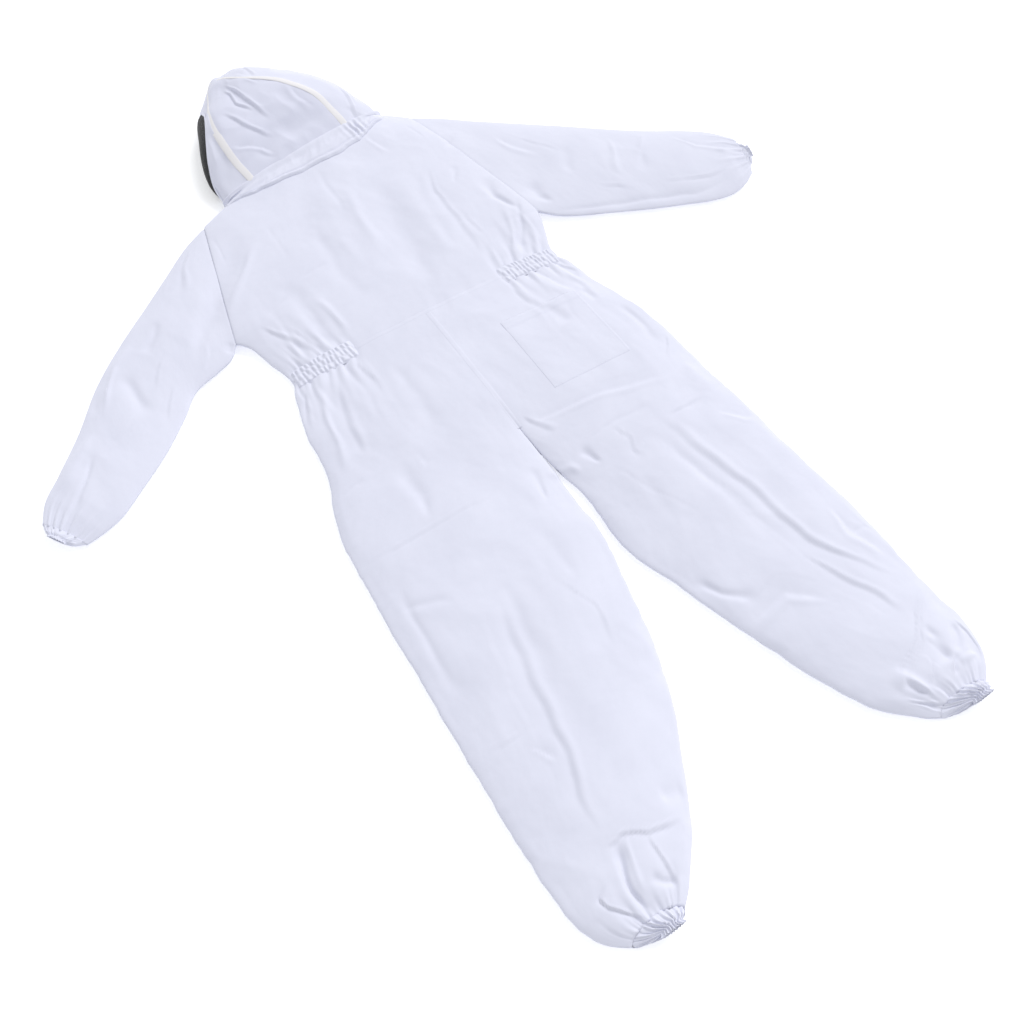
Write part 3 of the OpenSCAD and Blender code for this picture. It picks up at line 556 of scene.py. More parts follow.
def bodice_front(side, nx=62):
    s = spread(nx, 0.6)
    L, Rr = left_side.copy(), right_side.copy()
    L[-1] = (-194, 449.5)
    Rr[-1] = (201, 519.5)
    width = (Rr[:, 0] - L[:, 0])
    xa, xc = (L[:, 0], np.full(nrow, -7.0)) if side < 0 else (np.full(nrow, 7.0), Rr[:, 0])
    X = mix(xa[:, None], xc[:, None], s[None, :])
    u = (X - L[:, :1]) / width[:, None]
    Y = mix(L[:, 1:], Rr[:, 1:], u)
    near_neck = smooth((rr - rb) / (nrow - 1 - rb))
    low = 1.1 + 0.5 * np.abs(N3(X / 60, Y / 90)) + 0.4 * np.abs(N4(X / 26, Y / 40))
    low = mix(low, 7.8, near_neck[:, None] ** 2)
    za, zc = (low_z, np.full(nrow, 7.8)) if side < 0 else (np.full(nrow, 7.8), low_z)
    ends = mix(za[:, None], zc[:, None], s[None, :])
    return np.stack([X, Y, mix(low, ends, 1 - lensr(s, 0.28)[None, :])], -1)


# ---- Sleeves ----------------------------------------------------------------
LEFT_ARM = [
    (-250, 430, -325, 130, 11.5, 15), (-300, 404, -343, 108, 9, 10), (-360, 357, -378, 93, 7.5, 8), (-420, 309, -424, 78, 7, 7),
    (-500, 245, -464, 38, 7, 7), (-570, 179, -520, -13, 7, 7), (-630, 104, -580, -56, 7, 7), (-692, 38, -640, -94, 7, 7), (-728, 0, -676, -104, 7, 7), (-744, -34, -698, -107, 7, 7)]
RIGHT_ARM = [
    (242, 490, 311, 110, 11.5, 15), (300, 453, 345, 79, 9, 10), (350, 413, 388, 55, 7.5, 8), (400, 374, 430, 36, 7, 7), (500, 295, 500, 2, 7, 7),
    (600, 214, 570, -28, 7, 7), (650, 178, 622, -49, 7, 7), (700, 145, 672, -57, 7, 7), (745, 106, 712, -46, 7, 7), (770, 70, 738, -32, 7, 7)]


def tube(stations, ns, nc, height, folds, top_extra, seed, flat_end=14.0, lift=0.0):
    """A flattened tube: from the under edge over the back to the upper edge, and back below."""
    st = np.asarray(stations, float)
    mid = (st[:, :2] + st[:, 2:4]) / 2
    t = np.concatenate([[0], np.cumsum(np.linalg.norm(np.diff(mid, axis=0), axis=1))])
    w = np.linspace(0, t[-1], ns)
    S = hermite(t, st, w)
    h = (1 - np.cos(np.pi * np.linspace(0, 1, nc))) / 2 * 0.6 + np.linspace(0, 1, nc) * 0.4
    s = np.concatenate([1 - h, h[1:]])  # 1 = under edge, 0 = upper edge
    back = np.concatenate([np.ones(nc), np.zeros(nc - 1)])
    X = mix(S[:, 0:1], S[:, 2:3], s[None, :])
    Y = mix(S[:, 1:2], S[:, 3:4], s[None, :])
    ez = mix(S[:, 4:5], S[:, 5:6], s[None, :])
    u = (w / t[-1])[:, None]
    H = height(u)
    near_edge = lensr(s, 0.28)[None, :]
    fold = folds(u, s[None, :], seed)
    zb = mix(ez, H, lensr(s)[None, :]) + near_edge ** 1.5 * (top_extra(X, Y) * 1.0 + fold)
    low = 1.2 + 0.5 * np.abs(N3(X / 60, Y / 60)) + 0.3 * np.abs(N4(X / 24, Y / 30))
    zf = mix(low, ez, 1 - near_edge) + near_edge * np.abs(fold) * 0.35
    return np.stack([X, Y, np.where(back[None, :] > 0, zb, zf) + lift], -1), S


def arm_folds(u, s, seed):
    t = smooth((u - 0.86) / 0.14)
    ph = 1.4 * seed(s * 4, u * 6)
    return t * (1.7 * np.cos(2 * np.pi * 6.5 * s + ph) + 1.0 * np.cos(2 * np.pi * 13 * s + 2 * ph + 0.6)) * lensr(s, 0.3)


def arm_height(u):
    return np.interp(u, [0, 0.06, 0.8, 0.93, 1], [24.5, 24, 22.5, 21.5, 16.5])




def mouth(o, e, d, base, rings, ns, nc, seed, k=11, amp=1.0, shift=0.0):
    """A gathered end with its elastic turned up: o is the middle of the last row,
    e points across and d outwards. A ring is (half width, side along, side height,
    back along, back height, front along, front height, ruffle), in mm."""
    h = (1 - np.cos(np.pi * np.linspace(0, 1, nc))) / 2 * 0.6 + np.linspace(0, 1, nc) * 0.4
    sgn = np.concatenate([1 - 2 * h, 2 * h[1:] - 1])
    back = np.concatenate([np.ones(nc), np.zeros(nc - 1)])
    R = np.array([base] + rings, float)
    t = np.linspace(0, len(R) - 1, ns)
    R = hermite(np.arange(len(R)), R, t)
    full = np.clip(1 - sgn ** 2, 0, 1) ** 0.6
    rows = []
    for i in range(ns):
        hw, sa, sz, ba, bz, fa, fz, ru = R[i]
        u = i / (ns - 1)
        along = np.where(back > 0, mix(sa, ba, full), mix(sa, fa, full))
        z = np.where(back > 0, mix(sz, bz, full), mix(sz, fz, full ** 0.5))
        ph = 2.6 * seed(sgn * 3 + 7, u * 1.5) + np.where(back > 0, 0, 1.2)
        wv = np.cos(np.pi * k * sgn + ph)
        w2 = np.cos(2.1 * np.pi * k * sgn + 2 * ph + 0.8)
        bump = ru * amp * full ** 0.5 * (wv * (0.7 + 0.6 * seed(sgn * 5, 3.3 + u)) + 0.4 * w2)
        along = along - np.where(back > 0, 0.35, -0.35) * bump
        z = z + bump * np.where(back > 0, 1.0, 0.6)
        x = hw * sgn * (1 + 0.02 * ru * w2) + shift * smooth(u * 1.5)
        rows.append(np.stack([o[0] + e[0] * x + d[0] * along, o[1] + e[1] * x + d[1] * along, np.maximum(z, 0.9)], -1))
    return np.array(rows)


def ruffle(k):
    def f(u, s, seed):
        ph = 1.2 * seed(s * 6, u * 2)
        return lensr(s, 0.3) * (2.2 * np.cos(2 * np.pi * k * s + ph) * (0.75 + 0.5 * np.cos(2 * np.pi * u * 1.5)) + 0.8 * np.cos(4 * np.pi * k * s + 2 * ph))
    return f


# ---- Materials ----------------------------------------------------------------
def nodes_of(name):
    m = bpy.data.materials.new(name)
    m.use_nodes = True
    nt = m.node_tree
    nt.nodes.clear()
    out = nt.nodes.new("ShaderNodeOutputMaterial")
    b = nt.nodes.new("ShaderNodeBsdfPrincipled")
    nt.links.new(b.outputs[0], out.inputs[0])
    return m, nt, b


def add(nt, kind, **kw):
    n = nt.nodes.new(kind)
    for k, v in kw.items():
        if k.startswith("i_"):
            n.inputs[k[2:].replace("_", " ")].default_value = v
        else:
            setattr(n, k, v)
    return n


def math_node(nt, op, a, b=None):
    n = nt.nodes.new("ShaderNodeMath")
    n.operation = op
    for i, v in enumerate((a, b)):
        if v is None:
            continue
        if isinstance(v, (int, float)):
            n.inputs[i].default_value = v
        else:
            nt.links.new(v, n.inputs[i])
    return n.outputs[0]


def ramp(nt, fac, c0, c1, p0=0.0, p1=1.0):
    r = nt.nodes.new("ShaderNodeValToRGB")
    r.color_ramp.elements[0].position, r.color_ramp.elements[1].position = p0, p1
    r.color_ramp.elements[0].color, r.color_ramp.elements[1].color = (*c0, 1), (*c1, 1)
    nt.links.new(fac, r.inputs[0])
    return r.outputs[0]


def woven(name, c0, c1, pitch=0.00055, weave=0.00005, rough=(0.72, 0.86), crinkle=0.00035, sheen=0.25, uv=True, rib=False):
    m, nt, b = nodes_of(name)
    if uv:
        co = add(nt, "ShaderNodeUVMap", uv_map="cloth").outputs[0]
    else:
        co = add(nt, "ShaderNodeTexCoord").outputs["Object"]
    sep = nt.nodes.new("ShaderNodeSeparateXYZ")
    nt.links.new(co, sep.inputs[0])
    k = math.pi / pitch
    sx = math_node(nt, "SINE", math_node(nt, "MULTIPLY", sep.outputs[0], k))
    sy = math_node(nt, "SINE", math_node(nt, "MULTIPLY", sep.outputs[1], k))
    if rib:
        w = math_node(nt, "ABSOLUTE", sx)
    else:
        w = math_node(nt, "MULTIPLY", sx, sy)
    slub = add(nt, "ShaderNodeTexNoise", i_Scale=900.0, i_Detail=2.0)
    big = add(nt, "ShaderNodeTexNoise", i_Scale=7.0, i_Detail=4.0, i_Roughness=0.6)
    crk = add(nt, "ShaderNodeTexNoise", i_Scale=62.0, i_Detail=5.0, i_Roughness=0.62, i_Distortion=0.6)
    for n in (slub, big, crk):
        nt.links.new(co, n.inputs["Vector"])
    nt.links.new(ramp(nt, big.outputs[0], c0, c1, 0.3, 0.7), b.inputs["Base Color"])
    rg = nt.nodes.new("ShaderNodeMapRange")
    rg.inputs["To Min"].default_value, rg.inputs["To Max"].default_value = rough
    nt.links.new(crk.outputs[0], rg.inputs["Value"])
    nt.links.new(rg.outputs[0], b.inputs["Roughness"])
    hw = math_node(nt, "ADD", math_node(nt, "MULTIPLY", w, 0.5), math_node(nt, "MULTIPLY", slub.outputs[0], 0.6))
    b1 = add(nt, "ShaderNodeBump", i_Strength=0.5, i_Distance=weave)
    b2 = add(nt, "ShaderNodeBump", i_Strength=0.6, i_Distance=crinkle)
    nt.links.new(hw, b1.inputs["Height"])
    nt.links.new(crk.outputs[0], b2.inputs["Height"])
    nt.links.new(b2.outputs[0], b1.inputs["Normal"])
    nt.links.new(b1.outputs[0], b.inputs["Normal"])
    b.inputs["Sheen Weight"].default_value = sheen
    b.inputs["Sheen Roughness"].default_value = 0.5
    b.inputs["Specular IOR Level"].default_value = 0.25
    return m


WHITE0, WHITE1 = (0.695, 0.708, 0.825), (0.735, 0.748, 0.865)
M_cloth = woven("suit_cloth", WHITE0, WHITE1)
M_fell = woven("felled_seam", (0.76, 0.77, 0.86), (0.79, 0.80, 0.89), crinkle=0.00015)
# hood cloth: a darker copy of the suit cloth; the darkening is painted shade for the hood's sunken back panel and the
# black net behind its thin cloth
M_hood_painted_shade = woven("hood_cloth_painted_shade", (0.665, 0.678, 0.80), (0.705, 0.718, 0.84), crinkle=0.0005)
M_cream = woven("casing_tape", (0.80, 0.785, 0.80), (0.83, 0.815, 0.83), pitch=0.0008, weave=0.00008, crinkle=0.0002)
M_elastic = woven("ribbed_elastic", (0.80, 0.80, 0.82), (0.85, 0.85, 0.87), pitch=0.0012, weave=0.00025, rib=True, uv=False)
M_thread = woven("sewing_thread", (0.80, 0.81, 0.90), (0.84, 0.85, 0.94), pitch=0.0004, weave=0.00003, uv=False)
M_tape = woven("zip_tape", (0.79, 0.79, 0.83), (0.83, 0.83, 0.87), pitch=0.0009, weave=0.0001, uv=False)


def net_material():
    m, nt, b = nodes_of("black_net")
    co = add(nt, "ShaderNodeUVMap", uv_map="cloth").outputs[0]
    sep = nt.nodes.new("ShaderNodeSeparateXYZ")
    nt.links.new(co, sep.inputs[0])
    k = math.pi / 0.0021
    a = math_node(nt, "ABSOLUTE", math_node(nt, "SINE", math_node(nt, "MULTIPLY", math_node(nt, "ADD", sep.outputs[0], sep.outputs[1]), k)))
    c = math_node(nt, "ABSOLUTE", math_node(nt, "SINE", math_node(nt, "MULTIPLY", math_node(nt, "SUBTRACT", sep.outputs[0], sep.outputs[1]), k)))
    hole = math_node(nt, "MULTIPLY", a, c)
    solid = math_node(nt, "LESS_THAN", hole, 0.66)
    noise = add(nt, "ShaderNodeTexNoise", i_Scale=40.0, i_Detail=3.0)
    nt.links.new(co, noise.inputs["Vector"])
    nt.links.new(ramp(nt, noise.outputs[0], (0.012, 0.012, 0.014), (0.03, 0.03, 0.034), 0.3, 0.7), b.inputs["Base Color"])
    nt.links.new(solid, b.inputs["Alpha"])
    rg = nt.nodes.new("ShaderNodeMapRange")
    rg.inputs["To Min"].default_value, rg.inputs["To Max"].default_value = 0.45, 0.65
    nt.links.new(noise.outputs[0], rg.inputs["Value"])
    nt.links.new(rg.outputs[0], b.inputs["Roughness"])
    bp = add(nt, "ShaderNodeBump", i_Strength=0.6, i_Distance=0.0003)
    nt.links.new(math_node(nt, "SUBTRACT", 1.0, hole), bp.inputs["Height"])
    nt.links.new(bp.outputs[0], b.inputs["Normal"])
    return m


def hard_material(name, c0, c1, rough, metallic=0.0, scale=300.0, bump=0.00004):
    m, nt, b = nodes_of(name)
    co = add(nt, "ShaderNodeTexCoord").outputs["Object"]
    noise = add(nt, "ShaderNodeTexNoise", i_Scale=scale, i_Detail=4.0)
    nt.links.new(co, noise.inputs["Vector"])
    nt.links.new(ramp(nt, noise.outputs[0], c0, c1, 0.35, 0.65), b.inputs["Base Color"])
    rg = nt.nodes.new("ShaderNodeMapRange")
    rg.inputs["To Min"].default_value, rg.inputs["To Max"].default_value = rough
    nt.links.new(noise.outputs[0], rg.inputs["Value"])
    nt.links.new(rg.outputs[0], b.inputs["Roughness"])
    bp = add(nt, "ShaderNodeBump", i_Strength=0.4, i_Distance=bump)
    nt.links.new(noise.outputs[0], bp.inputs["Height"])
    nt.links.new(bp.outputs[0], b.inputs["Normal"])
    b.inputs["Metallic"].default_value = metallic
    return m


M_net = net_material()
M_teeth = hard_material("zip_teeth", (0.78, 0.78, 0.80), (0.84, 0.84, 0.86), (0.32, 0.45))
M_metal = hard_material("zip_enamel", (0.74, 0.74, 0.76), (0.82, 0.82, 0.84), (0.22, 0.36), metallic=0.25)
M_rod = hard_material("spring_steel", (0.50, 0.50, 0.52), (0.60, 0.60, 0.62), (0.28, 0.42), metallic=1.0)

# ---- Stitching -------------------------------------------------------------------
STITCHES = {}


def stitch(group, path, pitch=3.6, length=2.5, width=0.34, lift=0.32):
    """Short raised threads along a route of points (pattern mm) on the cloth."""
    p = row(path)
    t = np.concatenate([[0], np.cumsum(np.linalg.norm(np.diff(p, axis=0), axis=1))])
    n = max(2, int(t[-1] / (pitch / 1000)))
    w = (np.arange(n) + 0.5) * t[-1] / n
    c = np.stack([np.interp(w, t, p[:, k]) for k in range(3)], 1)
    c2 = np.stack([np.interp(np.minimum(w + 0.001, t[-1]), t, p[:, k]) for k in range(3)], 1)
    c1 = np.stack([np.interp(np.maximum(w - 0.001, 0), t, p[:, k]) for k in range(3)], 1)
    d = c2 - c1
    d /= np.maximum(np.linalg.norm(d, axis=1, keepdims=True), 1e-9)
    up = np.array([0, 0, 1.0]) - d * d[:, 2:3]
    up /= np.maximum(np.linalg.norm(up, axis=1, keepdims=True), 1e-9)
    sd = np.cross(d, up)
    L, W = length / 2000, width / 2000
    c = c + up * (lift / 1000)
    STITCHES.setdefault(group, []).append(np.stack([c - d * L - up * W, c + sd * W, c + up * W, c - sd * W, c + d * L - up * W], 1))


STITCH_FACES = [(0, 2, 1), (0, 3, 2), (4, 1, 2), (4, 2, 3), (0, 1, 4, 3)]


def sew(group, name):
    c = np.concatenate(STITCHES[group])
    n = len(c)
    F = []
    for k in range(n):
        F += [tuple(5 * k + i for i in f) for f in STITCH_FACES]
    ob = mesh_object(name, c.reshape(-1, 3), F, material=M_thread, smooth_shade=False)
    return ob


# ---- Build: trunk and legs -----------------------------------------------------
made = {}
for side, nm in ((-1, "left"), (1, "right")):
    P = trouser_back(side)
    ob = cloth(f"{nm}_trouser_back_cloth", P, M_cloth, rests=[f"{nm}_trouser_front_cloth"])
    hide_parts(f"trouser_back_{nm}", f"{nm}_shin_back")
    made[f"tb_{nm}"] = (ob, P)
    F = trouser_front(side)
    of_ = cloth(f"{nm}_trouser_front_cloth", F, M_cloth, up=False)
    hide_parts(f"trouser_front_{nm}", f"{nm}_shin_front")
    made[f"tf_{nm}"] = (of_, F)
    # seams: side seam, and the inside leg seam down to the hem
    i750 = int(np.argmin(np.abs(P[:, 0, 1] + 330)))
    ihem = int(np.argmin(np.abs(P[:, 0, 1] + 1040)))
    stitch(f"leg_{nm}", P[4:ihem, 5])
    stitch(f"leg_{nm}", P[i750 + 60:ihem, -6])
    st = sew(f"leg_{nm}", f"{nm}_leg_stitching")
    made[f"ts_{nm}"] = (st, None)

B, bs = bodice_back()
bodice = cloth("back_bodice_cloth", B, M_cloth, rests=["front_bodice_left_cloth", "front_bodice_right_cloth"])
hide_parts("back_bodice")
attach(bodice, "torso")
for side, nm in ((-1, "left"), (1, "right")):
    ob = cloth(f"front_bodice_{nm}_cloth", bodice_front(side), M_cloth, up=False)
    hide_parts(f"front_bodice_{nm}")
    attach(ob, "torso")

# seat seam: a flat-felled ridge down the middle
TL = made["tb_left"][1]


def back_at(x, y, lift=0.0):
    """A point on the trousers' back."""
    x, y = np.broadcast_arrays(np.asarray(x, float), np.asarray(y, float))
    side = np.where(x < inner_left(y) + 0.01, -1, 1)
    zl, zr = trunk_base(x, y, -1), trunk_base(x, y, 1)
    fo = smooth(np.minimum(np.abs(x - outer_left(y)), np.abs(x - outer_right(y))) / 16)
    return np.stack([x, y, np.where(side < 0, zl, zr) + fo * surface(x, y) + lift], -1)


def strip(path, half, n_across, lift, bulge=0.0, wave=None):
    """A band along a plan route on the trousers' back."""
    p = resample(path, max(8, int(np.linalg.norm(np.diff(np.asarray(path, float), axis=0), axis=1).sum() / 3)))
    d = np.gradient(p, axis=0)
    d /= np.linalg.norm(d, axis=1, keepdims=True)
    nrm = np.stack([-d[:, 1], d[:, 0]], 1)
    v = np.linspace(-1, 1, n_across)
    XY = p[:, None, :] + nrm[:, None, :] * (v * half)[None, :, None]
    G = back_at(XY[..., 0], XY[..., 1])
    G[..., 2] += -0.25 + (lift + 0.25) * (1 - v ** 6)[None, :] + bulge * (1 - v ** 2)[None, :]
    if wave is not None:
        G[..., 2] += wave(p, v)
    return G, p


S1, p1 = strip([(-8, -8), (-8, -80), (-8.5, -160), (-8, -240), (-7, -306)], 5.2, 13, 0.3, 0.1)
seat_seam = cloth("seat_seam_fell", S1, M_cloth, thick=0.6)
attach(seat_seam, "torso")
stitch("torso", S1[3:-3, 3], lift=0.2)
stitch("torso", S1[3:-3, -4], lift=0.2)

W1, p2 = strip([(-156, -1.5), (-80, -2), (0, -2), (80, -2), (156, -1.5)], 5.5, 13, 0.3, 0.1)
waist = cloth("waist_seam_cloth", W1, M_cloth, thick=0.6)
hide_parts("waist_seam_band")
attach(waist, "torso")
stitch("torso", W1[2:-2, 3], lift=0.2)
stitch("torso", W1[2:-2, -4], lift=0.2)

for side, nm in ((-1, "left"), (1, "right")):
    nx, ny = 190, 46
    X = np.linspace(153, 280, nx)[None, :] * side
    Yv = np.linspace(-21, 21, ny)[:, None]
    X = X + 1.6 * N5(X / 30, Yv / 12)
    Yb = Yv + 1.4 * N6(X / 26, 3.1) + 0 * X
    xm = np.clip(np.abs(X), 150, 277) * side
    S = np.clip((xm + 278) / 556, 0, 1)
    base = mix(E0, 28, lensr(S))
    body_d = (creased(xm, Yb) + rumpled(xm, Yb)) * smooth((278 - np.abs(xm)) / 16)
    rowv = np.abs(np.sin(np.pi * (Yv + 21) / 14.0)) ** 0.8
    ph = 2.6 * N3(X / 34, Yv / 40) + 2.6 * N4(X / 16, np.round((Yv + 14) / 14) * 3.3)
    puff = 0.5 + 0.5 * np.cos(2 * np.pi * X / 9.0 + ph)
    rim = smooth((np.abs(X) - 153) / 8) * smooth((281 - np.abs(X)) / 12) * smooth((21 - np.abs(Yv)) / 5)
    Z = base + body_d - 1.0 + rim * (1.9 + 2.1 * puff * (0.35 + 0.65 * rowv) + 0.7 * N1(X / 9, Yv / 9) + 0.9 * N2(X / 20, Yv / 16))
    G = np.stack([X, Yb, Z], -1)
    ob = cloth(f"waist_gather_{nm}", G, M_cloth, thick=0.6, held="gathered")
    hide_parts(f"waist_elastic_{nm}")
    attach(ob, "torso")
    for k in (0, 15, 30, 45):
        k = min(max(k, 1), ny - 2)
        stitch("torso", G[k, 4:-4], pitch=3.0, length=2.2, lift=0.3)

# ---- Seat pocket ----------------------------------------------------------------
px = 85 + 165 * spread(60, 0.1)
py = -100 - 175 * spread(64, 0.1)
X, Y = np.meshgrid(px, py)
G = back_at(X, Y)
u, v = (X - 85) / 165, (-100 - Y) / 175
brd = np.minimum(np.minimum(u * 165, (1 - u) * 165), (1 - v) * 175)
hem = smooth((22 - v * 175) / 2.5)
rim_p = np.minimum(brd, v * 175)
G[..., 2] += -0.35 + 0.85 * smooth(rim_p / 4.0) + 0.35 * smooth(1 - np.abs(brd - 2.5) / 2.5) + 0.45 * hem * smooth(rim_p / 3) - 0.3 * np.exp(-((brd - 5.5) / 1.3) ** 2) + 0.7 * smooth(brd / 30) * (0.6 + N3(X / 60, Y / 60))
pocket = cloth("seat_pocket_cloth", G, M_cloth, thick=0.6, rests=["right_trouser_back_cloth"])
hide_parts("seat_pocket")
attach(pocket, "torso")
for sl in (G[:, 2], G[:, -3], G[-3, :], G[7, 2:-2], G[8, 2:-2]):
    stitch("torso", sl, lift=0.5)

# ---- Neck line and collar ----------------------------------------------------------
TURN = math.radians(10.05)
HOOD_AT = np.array([2.5, 490.0, 0.0])
CT, SN = math.cos(TURN), math.sin(TURN)


def from_hood(p):
    p = np.asarray(p, float)
    return np.stack([HOOD_AT[0] + p[..., 0] * CT - p[..., 1] * SN, HOOD_AT[1] + p[..., 0] * SN + p[..., 1] * CT, p[..., 2]], -1)


# The collar: a bunched roll along the back of the neck seam
nu, nv = 260, 46


def bodice_z(X, Y):
    """Height of the bodice's back under a point near the neck."""
    pts = B[-70:].reshape(-1, 3)
    q = np.stack([X.ravel(), Y.ravel()], 1)
    out = np.zeros(len(q))
    for i in range(0, len(q), 1500):
        d = (q[i:i + 1500, None, 0] - pts[None, :, 0]) ** 2 + (q[i:i + 1500, None, 1] - pts[None, :, 1]) ** 2
        k = np.argpartition(d, 4, axis=1)[:, :4]
        w = 1 / (np.take_along_axis(d, k, 1) + 0.3)
        out[i:i + 1500] = (pts[k, 2] * w).sum(1) / w.sum(1)
    return out.reshape(X.shape)


u = np.linspace(0.002, 0.998, nu)
v = np.linspace(0, 1, nv)
# v = 0 at the hood's side, v = 1 on the bodice
xh = mix(-198, 198, u)[None, :] + 0 * v[:, None]
low_edge = np.interp(u, [0, 0.08, 0.14, 0.2, 0.3, 0.4, 0.5, 0.65, 0.76, 0.84, 0.92, 1], [-10, -16, -26, -30, -38, -44, -50, -52, -48, -34, -24, -14])
low_edge = low_edge + 2.6 * N1(u * 9, 0.3) + 1.2 * N2(u * 21, 0.7)
yh = mix(9 + 0 * u[None, :], low_edge[None, :], v[:, None])
xh = xh + 3.0 * N3(u[None, :] * 11, v[:, None] * 1.6) * np.sin(np.pi * v)[:, None]
flat = from_hood(np.stack([xh, yh, 0 * xh], -1))
zb = bodice_z(flat[..., 0], flat[..., 1])
zd = 15 + 28 * np.clip(1 - (xh / 199) ** 2, 0, 1) ** 0.4
base = mix(zd, np.maximum(zb, 11.5), smooth(v[:, None] * 2.6 + 0 * xh))
endk = smooth(np.minimum(u, 1 - u) / 0.06)[None, :]
roll = (3.6 + 1.3 * N4(u * 8, 1.7))[None, :] * np.sin(np.pi * np.clip(v * 0.94, 0, 1))[:, None] ** 0.7
pipe = np.exp(-((v[:, None] - 0.9) / 0.055) ** 2) * (2.0 + 0.5 * N5(u * 30, 0.4))[None, :]
groove = -1.5 * np.exp(-((v[:, None] - 0.79) / 0.05) ** 2)
slant = u[None, :] * 15 + 1.6 * v[:, None]
folds = 1.3 * N6(slant * 0.8, v[:, None] * 1.3) + 0.6 * (1 - 2.2 * np.abs(N5(slant * 1.3, v[:, None] * 1.9 + 4)))
swirl = np.exp(-((u - 0.2) / 0.075) ** 2)[None, :] * (2.4 * np.cos(9.5 * v[:, None] + 16 * u[None, :]) + 0.8)
tucks = np.exp(-((u - 0.8) / 0.055) ** 2)[None, :] * 2.6 * np.cos(2 * np.pi * (u[None, :] - 0.8) / 0.034 + 1.5 * v[:, None])
inner = np.sin(np.pi * np.clip(v, 0, 1))[:, None] ** 0.7
zc = base + roll + pipe + groove + inner * (folds + swirl + tucks)
zc = mix(base + 0.4, zc, endk) - 1.1 * (smooth((v[:, None] - 0.95) / 0.05) + smooth((0.06 - v[:, None]) / 0.06))
C = from_hood(np.stack([xh, yh, zc], -1))
collar = cloth("collar_roll", C, M_cloth, thick=0.8, held="gathered", rests=["back_bodice_cloth"])
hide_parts("collar_band")
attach(collar, "torso")
stitch("torso", C[-8, 8:-8], lift=0.4)
torso_sew = sew("torso", "torso_stitching")
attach(torso_sew, "torso")

# ---- Hood ------------------------------------------------------------------------
ZB = 15.0
H_V = [0, 20, 40, 80, 120, 160, 200, 235, 262, 278, 287]
H_W = [192, 192.5, 192, 183, 165, 142, 118, 88, 56, 32, 12]
H_H = [39, 52, 63, 88, 101, 104, 99, 88, 74, 60, 46]


def hood_w(v): return hermite(H_V, H_W, v)
def hood_h(v): return hermite(H_V, H_H, v)


HOOD_LUMPS = [(7.0, 60, 15, 254, 20), (-5.5, 38, 13, 208, 30), (4.0, 100, 16, 236, 26), (-3.0, 82, 10, 262, 16), (3.0, 150, 14, 120, 40), (-3.0, 165, 12, 60, 30)]


def dome(v, a, d=0.0):
    """A point on the hood at angle a (degrees, 0 = wearer's left, 90 = back), d outwards."""
    r = np.radians(a)
    for k, a0, aw, v0, vw in HOOD_LUMPS:
        d = d + k * np.exp(-((a - a0) / aw) ** 2 - ((v - v0) / vw) ** 2)
    w, h = hood_w(v) + d, hood_h(v) + d
    return np.stack([-w * np.cos(r), v + 0 * a, ZB + (h - ZB) * np.clip(np.sin(r), 0, 1) ** 0.8], -1)


def hood_rumple(v, a, k=1.0):
    x = a * 1.9
    wx, wy = x + 22 * N1(x / 120, v / 120), v + 22 * N2(x / 120, v / 120)
    return k * (2.6 * N3(wx / 62, wy / 74) + 1.3 * (1 - 2.4 * np.abs(N6(wx / 46, wy / 60))) + 0.5 * N4(wx / 18, wy / 22))


HOOD_CREASES = [
    # kind, half width (mm), depth, route in (angle, v)
    ("f", 3.4, 4.6, [(66, 206), (69, 180), (70, 147), (80, 101)]),
    ("f", 3.2, 5.0, [(72, 214), (76, 178), (80, 136), (82.5, 105), (84, 72)]),
    ("g", 4.0, 2.6, [(92, 222), (96, 190), (98, 150)]),
    ("f", 3.4, 4.8, [(54, 140), (58.5, 129), (65, 95), (74, 58), (79, 44)]),
    ("g", 3.0, 3.0, [(49, 76), (54, 66), (60, 59), (69, 42), (76, 14)]),
    ("v", 5.0, 2.6, [(62, 44), (68, 24), (76, 8)]),
    ("r", 6.0, 3.4, [(79, 66), (84, 38), (88, 6)]),
    ("v", 15, 4.0, [(98, 130), (104, 90), (108, 50)]),
    ("r", 5.0, 2.2, [(96, 120), (99, 84), (100, 56)]),
    ("g", 5.0, 3.0, [(114, 120), (111, 90), (112, 50)]),
    ("f", 4.0, 2.6, [(104, 236), (102, 200), (100, 176)]),
    ("f", 3.6, 3.2, [(150, 90), (144, 60), (139, 28), (134, 4)]),
    ("v", 6.0, 4.0, [(140, 34), (137, 16), (134, 2)]),
    ("g", 4.0, 3.0, [(158, 120), (160, 80), (150, 36)]),
    ("v", 9.0, 3.0, [(38, 150), (39, 90), (40, 30)]),
    ("r", 4.0, 2.2, [(33, 128), (35, 92), (30, 58)]),
]


def hood_creased(v, a):
    x = a * 2.2
    out = np.zeros(np.broadcast(v, a).shape)
    X, V = np.broadcast_to(x, out.shape), np.broadcast_to(v, out.shape)
    X = X + 4 * N5(X / 40, V / 40)
    V = V + 4 * N6(X / 40, V / 40)
    for kind, w, depth, pts in HOOD_CREASES:
        p = [(q[0] * 2.2, q[1]) for q in pts]
        d, sg, t = near(X, V, p)
        fade = smooth(np.minimum(t, 1 - t) / 0.3)
        out += 0.82 * depth * fade * fold_profile(kind, d, sg, np.full(X.shape, float(w)))
    return out


